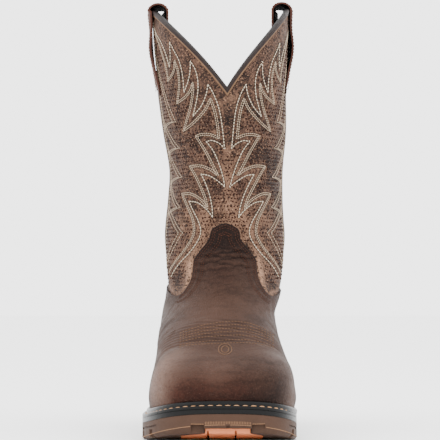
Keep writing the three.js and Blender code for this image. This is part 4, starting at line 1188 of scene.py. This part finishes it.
# Perforations: staggered rows of small holes in the fields that the stitching leaves
perforation = {
    "rise": 3.5 * 0.87, "degrees": 3.3, "low": 118, "high": 335, "underCollar": 16, "clear": 1.9,
    "width": 1.7, "depth": 0.5, "lift": 0.08, "scatter": 0.22, "missing": 0.1, "seed": 11,
}
holes = []
for row, height in enumerate(np.arange(*(perforation[key] for key in ("low", "high", "rise")))):
    step = perforation["degrees"]
    turn = np.arange(-180, 180, step) + (row % 2) * step / 2
    holes.append(np.stack([turn, np.full(len(turn), height)], -1))
holes = np.concatenate(holes)
chance = np.random.default_rng(perforation["seed"])
holes += chance.normal(0, perforation["scatter"], holes.shape)
holes = holes[chance.random(len(holes)) > perforation["missing"]]
holes = holes[holes[:, 1] < collarAt(holes[:, 0]) - perforation["underCollar"]]
points, normals = onBoot(holes)
alongUp = unit(np.cross(normals, np.array([0.0, 0.0, 1.0])))
# the plain field over the flames lies above the first row, which ends on the middle line
folded = np.abs(wrapped(holes[:, 0]))
folded = np.where(folded > 90, 180 - folded, folded)
rowEnd = (3.4, 225)
rim = flame[:int(np.argmin(np.abs(flame - rowEnd).sum(1))) + 1]
crossings = np.zeros(len(holes), int)
for (turnA, highA), (turnB, highB) in zip(rim, rim[1:]):
    spans = (turnA > folded) != (turnB > folded)
    share = (folded - turnA) / np.where(turnB == turnA, 1, turnB - turnA)
    crossings += spans & (mix(highA, highB, share) < holes[:, 1])
plainField = ((crossings % 2) == 1) | ((folded < rowEnd[0]) & (holes[:, 1] > 222))
nearest = np.minimum.reduce([distanceTo(points, lines) for lines in patternLines.values()])
free = (nearest > perforation["clear"]) & ~plainField
points, normals, alongUp = points[free], normals[free], alongUp[free]
holeSize = (perforation["width"], perforation["width"], perforation["depth"])
# the holes are not cut: small dark reddish studs stand in for them, painted shade for their insides
repeat("shaftPerforations", studs, points + normals * perforation["lift"], alongUp, normals,
       punchMaterial, "shaft_leather", holeSize, Variation=0.3, Seed=5)
print("perforations made:", len(points))

liningTurns = np.linspace(-180, 180, 121)[:-1]
turns, shares = np.meshgrid(liningTurns, np.linspace(0, 1, 90), indexing="ij")
liningFace = wallPoint(turns, levelAtHeight(turns, collarAt(turns)) * shares, -wall)
lining = sheet("shaftLining", liningFace, liningMaterial, True, flip=True)
keep(lining, "shaft_leather")
print("shaft made")

# Vamp
footAt = np.linspace(0, 1, vampColumns + 1) ** 0.8


def vampGrid(side, rows):
    w = np.linspace(0, 1, rows)
    toSeam = smooth((edgeAt - 55) / 35)
    turn = side * edgeAt
    for _ in range(4):
        top = levelAtHeight(turn, heightAt)
        turn = side * (edgeAt + (seamTurn(top, side) - 90) * toSeam)
    level = top[:, None] * w[None, :]
    topShare = np.abs(turn) / seamTurn(top, side)
    spread = mix(footAt[:, None], topShare[:, None], smooth(w * 1.15 - 0.1)[None, :])
    return side * seamTurn(level, side) * spread, level


# Turn and level of the point on the upper that lies above a place (x, y) in plan
def upperOver(x, y):
    x, y = floats(x, y)
    back = y + soleLength / 2
    front = np.zeros(x.shape)
    ridge, high = halve(lambda level: lastPoint(front, level)[..., 1] < y,
                        np.full(x.shape, 3.0), np.full(x.shape, 13.0), 44)
    side = np.where(x >= lastPoint(front, ridge)[..., 0], 1.0, -1.0)

    def outside(level):
        return side * lastPoint(turnAtBack(back, level, side), level)[..., 0] > side * x
    level, high = halve(outside, np.full(x.shape, 2.0), ridge, 40)
    return turnAtBack(back, level, side), level


# Rows of stitches along the vamp's edge, and around the tongue on the shaft
vampEdgeLines = []
for inset in (1.8, 3.6, 7.2, 9.0):
    points, normals = onBoot(shifted(edgePath[6:-6], -inset)[5:-5], proud)
    away = np.linalg.norm(points[:, None] - onBoot(edgePath, proud)[0][None], axis=-1).min(1)
    clear = away > inset * 0.94
    vampEdgeLines.append((points[clear], normals[clear]))
aboveTongue = []
for out in (2.4, 4.2, 6.0, 7.8, 9.6):
    path = shifted(edgePath, out)
    aboveTongue.append(onBoot(path[np.abs(path[:, 0]) < 27 - out], 0.25))
# arcs over the toe: y at the middle, slope across the foot, bend towards the ends
toeArcs = [
    (-59, 0.25, 0.0), (-64, 0.24, 0.0), (-69, 0.22, 0.0003), (-74, 0.2, 0.0006),
    (-80, 0.17, 0.001), (-87, 0.15, 0.0018), (-95, 0.12, 0.003),
]
toeMiddle = 5.0


# The toe cap under the leather ends in a soft step
def capStep(points):
    x, y, z = np.moveaxis(points, -1, 0)
    capEdge = -94.0 + 0.12 * (x - toeMiddle) + 0.0012 * (x - toeMiddle) ** 2
    return 0.7 * smooth((capEdge + 5 - y) / 9) - 0.6 * bell(y - capEdge - 6, 4.5) * (z < 90)


def overToe(x, y):
    turn, level = upperOver(x, y)
    face, normal = wallPoint(turn, level, proud), wallNormal(turn, level)
    return face + normal * capStep(face)[:, None], normal


toeLines = []
for middle, slope, bend in toeArcs:
    x = np.linspace(-30, 41, 60)
    toeLines.append(overToe(x, middle + slope * (x - toeMiddle) + bend * (x - toeMiddle) ** 2))
# the small stitched ring in front of the arcs, a plain double oval
ring = {"x": 4.4, "y": -108.5, "radii": [(2.7, 7.2), (5.0, 11.5)], "points": 41}
angle = np.linspace(0, 2 * np.pi, ring["points"])
loopLines = [overToe(ring["x"] + wide * np.cos(angle), ring["y"] + long * np.sin(angle))
             for wide, long in ring["radii"]]

vampTurn, vampLevel = (np.concatenate([outer[::-1], inner[1:]]) for outer, inner in zip(
    vampGrid(-1, 250), vampGrid(1, 250)))
bare = wallPoint(vampTurn, vampLevel, proud)
x, y, z = np.moveaxis(bare, -1, 0)
nearEdge = distanceTo(bare, vampEdgeLines)
relief = -0.14 * bell(nearEdge, 0.6) + capStep(bare)
relief -= 0.4 * bell(distanceTo(bare, toeLines), 0.9)
relief -= 0.35 * bell(distanceTo(bare, loopLines), 0.9)
# puckers between the arcs of stitching
inArcs = smooth((y + 99) / 5) * smooth((-54 - y) / 5) * smooth((z - 62) / 8)
puckers = inArcs * np.sin(y * 1.25 + 0.25 * x)
relief += 0.2 * puckers
# wrinkles across the tongue: height, slant, turn, half width in degrees, amount
tongueFolds = [
    (128.5, 2, -6, 22, 0.5), (132.0, -2, 8, 16, 0.7), (135.0, 3, -8, 18, 0.6),
    (138.0, -1, 5, 20, 0.8), (141.0, 2, -4, 16, 0.6), (144.0, -2, 6, 14, 0.6),
    (147.5, 1, -3, 13, 0.4), (124.0, 3, 10, 20, 0.3), (118.0, -3, -10, 22, 0.3),
    (151.5, -1, 3, 10, 0.3),
]
# painted highlight on each fold and painted shade in the dip below it
foldShade = 0.0
for height, slant, turn, half, amount in tongueFolds:
    away = (vampTurn - turn) / half
    line = height + slant * away + 0.5 * np.sin(vampTurn * 0.55 + height)
    fade = amount * np.exp(-away ** 4)
    fold, dip = bell(z - line - 1.5, 1.0), bell(z - line, 0.8)
    relief += 1.4 * fade * (0.5 * fold - dip)
    foldShade = foldShade + fade * (0.45 * fold - 0.55 * dip)
# creases where the foot bends, on both sides of the ball: y, slant, side, height, reach, amount
ballCreases = [
    (-52, 0.25, 1, 62, 20, 0.9), (-38, 0.3, 1, 66, 22, 0.8), (-22, 0.2, 1, 70, 22, 0.6),
    (-58, 0.25, -1, 60, 20, 0.9), (-42, 0.3, -1, 64, 24, 0.9), (-26, 0.25, -1, 70, 24, 0.6),
    (-8, 0.3, 1, 88, 20, 0.5), (-12, 0.3, -1, 88, 20, 0.5),
]
for middle, slant, side, height, reach, amount in ballCreases:
    behind = y - (middle + slant * (z - height))
    fade = bell(z - height, reach) * smooth(side * (x - 4) / 22)
    relief += 0.7 * amount * fade * (0.6 * bell(behind - 5, 4.4) - bell(behind, 3.4))
underEdge = (1 - vampLevel / vampLevel[:, -1:]) * 40
relief *= smooth((vampLevel - 0.8) / 1.2) * smooth(underEdge)


# Adds up soft spots on a skin: middle, radius, shade, warm
def spots(points, table):
    shade, warm = np.zeros((2, *points.shape[:-1]))
    for middle, radius, shadeMore, warmMore in table:
        fade = bell(np.linalg.norm(points - np.array(middle, float), axis=-1), radius)
        shade += shadeMore * fade
        warm += warmMore * fade
    return shade, warm


# where the leather is darker or redder, with painted sheen where it is pale and painted shade low
# at the toe by the welt: middle, radius, shade, warm
vampMarks = [
    ((-36, -112, 56), 20, 0.6, 0), ((44, -100, 56), 18, 0.4, 0), ((-48, -118, 40), 22, 1.0, 0),
    ((-12, -148, 32), 15, -0.1, 0.7), ((14, -149, 31), 16, -0.1, 0.8),
    ((42, -134, 42), 12, -0.6, 0), ((-30, -140, 32), 14, -0.1, 0.7),
    ((-4, -136, 54), 22, 0.25, 0.15), ((56, -112, 34), 14, 0.45, 0),
    ((26, -142, 47), 10, -0.15, 0), ((36, -140, 30), 12, -0.5, 0.2), ((0, -40, 98), 26, 0.15, 0),
    ((-20, -146, 28), 14, -0.6, 0.5), ((20, -148, 27), 16, -0.75, 0.3),
    ((0, -8, 128), 12, -0.25, 0.3), ((-42, -60, 50), 30, 0.1, 0), ((-30, 90, 60), 30, 0.1, 0.2),
]
shadeHere, warmHere = spots(bare, vampMarks)
# darker up the tongue; painted shade low at the front of the toe, painted light and shade on the
# tongue's folds and the puckers, painted shade in the edge stitch grooves, and darker along the top
# edge
shadeHere -= 0.75 * smooth((z - 128) / 26) + 0.35 * smooth((z - 100) / 30)
shadeHere += foldShade - 0.5 * smooth((27 - z) / 9) * (y < -80)
shadeHere += 0.12 * puckers - 0.25 * bell(nearEdge, 0.8) - 0.3 * bell(underEdge, 1)
warmHere += 0.25 * smooth((z - 130) / 20)


# More rows after a grid's last one: its values times a share, plus an amount
def closedTop(values, *ends):
    return np.concatenate([values, *[values[:, -1:] * share + more for share, more in ends]], 1)


vampTurn, vampLevel = (closedTop(values, (1, 0), (1, 0)) for values in (vampTurn, vampLevel))
shadeHere, warmHere = (closedTop(paint, (1, -0.2), (1, -0.2)) for paint in (shadeHere, warmHere))
vampFace = wallPoint(vampTurn, vampLevel, closedTop(proud + relief, (1, -0.35), (0, -0.2)))
vamp = sheet("vampLeatherSkin", vampFace, vampLeather, painted=shadeHere, warm=warmHere)
keep(vamp, "vamp_leather", "vamp")
edgeStitch = (brownThread, "vamp_leather", 2.2, 1.7, 0.5, 0.25)
stitches("vampEdgeStitches", vampEdgeLines, *edgeStitch)
stitches("tongueOutlineStitches", aboveTongue, darkThread, "shaft_leather", 2.2, 1.8, 0.5, 0.3)
stitches("toeStitches", toeLines, toeThread, "vamp_leather", 2.4, 1.9, 0.6, 0.3)
stitches("toeKnotStitches", loopLines, toeThread, "vamp_leather", 1.4, 1.3, 0.65, 0.15)

# Counter
wingHeight = vampEdge[-1][1] * tongueHeight
across = np.linspace(-1, 1, 121)
share = 1 - np.abs(across)
sideSign = np.where(across < 0, 1, -1)
counterTop = mix(vampEdge[-1][1], 0.79, smooth(share * 1.6 - 0.6)) * tongueHeight
top = levelAtHeight(sideSign * mix(90.0, 180.0, share), counterTop)
level = top[:, None] * np.linspace(0, 1, 90)[None, :]
seam = seamTurn(level, sideSign[:, None])
turn = sideSign[:, None] * mix(seam, 180.0, share[:, None])
bare = wallPoint(turn, level, proud)
# two rows of stitches under its top edge, and two beside the seam on either side
edgeTurns = np.where(turn[:, -1] < 0, turn[:, -1] + 360, turn[:, -1])
counterEdge = np.stack([edgeTurns, counterTop], -1)[2:-2]
counterLines = [onBoot(counterEdge - [0, drop], proud) for drop in (2.4, 4.8)]
seamLines = []
for side in (-1, 1):
    seamTop = float(levelAtHeight(side * 90.0, wingHeight)) - 0.35
    seamLevels = np.linspace(1.2, seamTop, 60)
    spot = lastPoint(side * seamTurn(seamLevels, side), seamLevels)
    for away in (-4.4, -2.2, 2.2, 4.4):
        turned = turnAtBack(backOf(spot) + away, seamLevels, side)
        seamLines.append((wallPoint(turned, seamLevels, proud), wallNormal(turned, seamLevels)))
nearRows = distanceTo(bare, counterLines + seamLines)
# painted light and shade on the counter, paler at its middle: middle, radius, shade, warm
counterMarks = [
    ((0, 150, 70), 26, 0.3, 0), ((-34, 118, 60), 24, 0.3, 0), ((34, 112, 64), 24, 0.25, 0),
    ((20, 140, 44), 16, -0.4, 0), ((-40, 84, 88), 16, -0.3, 0),
]
counterShade = spots(bare, counterMarks)[0]
# painted shade in the stitch grooves and towards the sole
counterShade -= 0.25 * bell(nearRows, 0.8) + 0.35 * smooth((34 - bare[..., 2]) / 12)
counterRelief = -0.14 * bell(nearRows, 0.6) - 0.35 * bell(turn % 360 - 180, 2.2)
turn, level = closedTop(turn, (1, 0)), closedTop(level, (1, 0))
counterFace = wallPoint(turn, level, closedTop(proud + counterRelief, (0, -0.2)))
counterShade = closedTop(counterShade, (1, -0.2))
counter = sheet("counterSkin", counterFace, vampLeather, painted=counterShade)
keep(counter, "vamp_leather", "heel_counter")
stitches("counterStitches", counterLines, *edgeStitch)
stitches("sideSeamStitches", seamLines, *edgeStitch)
print("vamp and counter made")

# Binding over the collar's edge, with a raw tan edge under it
rimTurns = np.linspace(-180, 180, 361)[:-1]
rimLevels = levelAtHeight(rimTurns, collarAt(rimTurns))
rim = lastPoint(rimTurns, rimLevels)
normal = wallNormal(rimTurns, rimLevels)
before, after = unit(rim - np.roll(rim, 1, 0)), unit(np.roll(rim, -1, 0) - rim)
along = unit(before + after)
mitre = 1 / np.maximum(0.55, np.sum(along * after, -1))
rise = unit(np.cross(normal, along)) * mitre[:, None]


def rimSweep(name, profile, material, painted=None):
    sections = [rim + normal * out + rise * up for out, up in profile]
    return sweep(name, np.stack(sections, 1), material, True, painted, angle=60)


bindingProfile = [
    (0.5, -2.1), (0.95, -1.9), (1.1, -1.3), (0.9, -0.8), (1.1, -0.3), (1.05, 0.3), (0.7, 0.85),
    (-0.2, 1.1), (-1.2, 1.15), (-2.2, 1.1), (-3.1, 0.8), (-3.5, 0.2), (-3.5, -4.2), (-2.9, -4.4),
    (-2.5, -4.0), (-2.5, -0.2), (-0.1, -0.2), (-0.1, -2.0),
]
# dark on the inside, where the lining is black, with a painted highlight along the fold
outs = [out for out, up in bindingProfile]
bindingToneAndHighlight = np.interp(outs, [-2.0, -1.0, 0.3, 1.2], [-1.6, -1.1, 0.5, 0.0])
bindingToneAndHighlight = np.tile(bindingToneAndHighlight, (len(rim), 1))
binding = rimSweep("collarBinding", bindingProfile, bindingLeather, bindingToneAndHighlight)
keep(binding, "binding_leather", "collar_binding")
edgeProfile = [(0.0, -3.3), (0.4, -3.2), (0.55, -2.8), (0.55, -1.9), (0.0, -1.7)]
keep(rimSweep("collarRawEdge", edgeProfile, rawEdge), "binding_leather")
bindingLine = rim + normal * 0.9 + rise * -0.8
closedLine = tuple(np.concatenate([row, row[:1]]) for row in (bindingLine, normal))
stitches("bindingStitches", [closedLine], darkThread, "binding_leather", 2.6, 2.0, 0.5, 0.3)

# Pull straps: brown leather outside, black inside, in a loop over the collar. Towards its back
# edge a loop is flatter and lower and leans, so that its dark inside shows from the front.
strap = {
    "width": 26.0, "thick": 2.4, "loop": 17.8, "rise": 6.0, "bow": 3.2, "reach": 70.0,
    "sink": 1.6, "legSteps": 30, "archSteps": 18, "across": 9, "binding": 0.8,
    "flatter": 0.85, "lower": 2.6, "leanOut": -2.0, "leanIn": 4.6, "skived": 0.75, "rounding": 0.35,
}


def strapPath(side):
    seat = gap + strap["thick"] / 2
    peak = float(collarAt(side * 90))
    rimPoint = lastPoint(side * 90.0, levelAtHeight(side * 90.0, peak))
    clearRim = gap + strap["binding"] + seat + 0.15
    radius = (strap["loop"] - strap["thick"]) / 2
    archHeight = peak - strap["sink"]
    archRise = peak + strap["rise"] - strap["thick"] / 2 - archHeight
    archTop = side * rimPoint[0] + clearRim
    outerFoot = peak - strap["reach"]
    shares = np.linspace(0, 1, strap["legSteps"])
    angles = np.radians(np.linspace(0, 180, strap["archSteps"])[1:-1])
    places = np.linspace(0, 1, strap["across"])
    heightOut = mix(outerFoot, archHeight, shares)
    bow = strap["bow"] * np.sin(np.pi * smooth((shares - 0.1) / 0.9)) + seat
    distance = mix(bow, clearRim, smooth((shares - 0.55) / 0.45))
    heightIn = mix(archHeight, outerFoot + 8, shares)
    sewn = smooth((shares - 0.3) / 0.5)
    leanOut, leanIn = strap["leanOut"], strap["leanIn"]
    swing = np.sin(angles)
    lean = np.where(angles < np.pi / 2, leanOut * swing, mix(leanIn, leanOut, swing))

    def faceOut(height, y):
        level = levelAtHeight(np.full(height.shape, side * 90.0), height)
        return side * lastPoint(turnAtBack(y + soleLength / 2, level, side), level)[:, 0]

    lines = []
    for y, behind in zip(rimPoint[1] + (places - 0.5) * strap["width"], places):
        nearShaft = strap["flatter"] * behind * (1 - smooth((shares - 0.7) / 0.3))
        outer = faceOut(heightOut, y) + mix(distance, seat, nearShaft)
        archX = archTop - radius + radius * np.cos(angles) + lean * behind
        archZ = archHeight + (archRise - strap["lower"] * behind) * swing
        hang = archTop - 2 * radius + leanIn * behind
        inner = mix(hang, faceOut(heightIn, y) - wall - seat, sewn)
        across = np.concatenate([outer, archX, inner])
        path = np.stack([across, np.concatenate([heightOut, archZ, heightIn])], -1)
        lines.append((y, path))
    return lines


# A strap's middle lines moved to one face; shift is in millimetres along its normal
def strapFace(side, lines, shift):
    grid = []
    for y, path in lines:
        along = unit(np.gradient(path, axis=0))
        moved = path + np.stack([along[:, 1], -along[:, 0]], -1) * shift
        grid.append(np.stack([side * moved[:, 0], np.full(len(moved), y), moved[:, 1]], -1))
    return np.stack(grid)


def makeStrap(side, name, node):
    lines = strapPath(side)
    half = strap["thick"] / 2
    columns, rows = len(lines), len(lines[0][1])
    middle = strapFace(side, lines, 0.15)
    layers = [strapFace(side, lines, half), strapFace(side, lines, -half)]
    # the sewn ends are skived thin
    fromEnd = np.minimum(np.arange(rows), rows - 1 - np.arange(rows))
    ends = strap["skived"] * (1 - smooth(fromEnd / 5))[None, :, None]
    layers[0] = mix(layers[0], layers[1], ends)
    # rounded edges: the outer two lines of each face sink a little
    for layer in layers:
        for line in (0, -1):
            layer[line] += (middle[line] - layer[line]) * strap["rounding"]
    points = np.concatenate([layer.reshape(-1, 3) for layer in (*layers, middle)])
    count = columns * rows
    flip = side < 0
    outer = gridFaces(columns, rows, False, flip=flip).tolist()
    inner = gridFaces(columns, rows, False, count, not flip).tolist()
    faces = outer + inner
    j = np.arange(rows - 1)
    for base, turned in ((0, False), ((columns - 1) * rows, True)):
        for start, stop in ((base, base + 2 * count), (base + 2 * count, base + count)):
            edgeFaces = np.stack([start + j, start + j + 1, stop + j + 1, stop + j], -1)
            faces += (edgeFaces[:, ::-1] if turned == flip else edgeFaces).tolist()
    kinds = [int(len(outer) <= number < 2 * len(outer)) for number in range(len(faces))]
    keep(addObject(name, points, faces, [strapLeather, strapLining], kinds, angle=60),
         "strap_leather", node)
    # a row of stitches along both edges, and two across the sewn end
    face = strapFace(side, lines, half + 0.05)
    over = unit(strapFace(side, lines, half + 1) - face)
    rowLines = [(face[line, 2:-2], over[line, 2:-2]) for line in (1, columns - 2)]
    rowLines += [(face[1:-1, row], over[1:-1, row]) for row in (2, 8)]
    stitches(name + "Stitches", rowLines, toeThread, "strap_leather", 2.6, 2.0, 0.6, 0.25)


for side, word in ((1, "inner"), (-1, "outer")):
    makeStrap(side, "pullStrap" + word.capitalize(), "pull_strap_" + word)

# Piping up the side seams, from the vamp's wing to the strap
piping = {"half": 1.8, "overWing": 0.5, "underStrap": 3, "stations": 90}
pipingProfile = [
    (-1.0, -0.2), (-0.95, 0.5), (-0.7, 1.05), (-0.3, 1.4), (0.0, 1.5), (0.3, 1.4), (0.7, 1.05),
    (0.95, 0.5), (1.0, -0.2),
]
for side, word in ((1, "inner"), (-1, "outer")):
    foot, top = wingHeight + piping["overWing"], collarHeight - strap["reach"] + piping["underStrap"]
    height = np.linspace(foot, top, piping["stations"])
    level = levelAtHeight(side * 90.0, height)
    seam = side * seamTurn(level, side)
    point, normal = lastPoint(seam, level), wallNormal(seam, level)
    rings = []
    for share, out in pipingProfile:
        y = share * piping["half"]
        rings.append(point + normal * (out - y * y / shaftDepth) + [0, y * side, 0])
    rings = np.stack(rings, 1)
    bead = sweep("sidePiping" + word.capitalize(), rings, pipingLeather, False, angle=70)
    keep(bead, "piping_leather", "side_piping_" + word)
print("straps and piping made")

# Floor, camera at the photograph's low angle in front of the toe, and soft studio light
floorHalf = 6000
corners = [(x * floorHalf, y * floorHalf, -0.2) for x, y in ((-1, -1), (1, -1), (1, 1), (-1, 1))]
addObject("floor", corners, [(0, 1, 2, 3)], [floorMaterial])
camera = bpy.data.objects.new("camera", bpy.data.cameras.new("camera"))
camera.data.sensor_width = 36.0
camera.data.lens = 191.45
camera.location = (0.0006, -1.853, 0.120)
camera.rotation_euler = (math.radians(90 + 1.464), 0.0, 0.0)
bpy.context.scene.collection.objects.link(camera)
bpy.context.scene.camera = camera
world = bpy.data.worlds.new("studio")
world.use_nodes = True
background = world.node_tree.nodes["Background"]
background.inputs[0].default_value = (1.0, 1.0, 1.0, 1.0)
background.inputs[1].default_value = studioLight
bpy.context.scene.world = world


def areaLight(name, place, aim, size, power):
    data = bpy.data.lights.new(name, "AREA")
    data.shape = "RECTANGLE"
    data.size, data.size_y = size
    data.energy = power
    light = bpy.data.objects.new(name, data)
    light.location = place
    light.rotation_euler = (Vector(aim) - Vector(place)).to_track_quat("-Z", "Y").to_euler()
    bpy.context.scene.collection.objects.link(light)


areaLight("leftBox", (-1.3, -0.9, 0.9), (0, 0, 0.17), (0.9, 1.4), 9.0)
areaLight("rightBox", (1.3, -0.9, 0.9), (0, 0, 0.17), (0.9, 1.4), 7.0)
areaLight("topBox", (0.0, -0.6, 1.6), (0, 0, 0.15), (1.4, 1.0), 9.0)
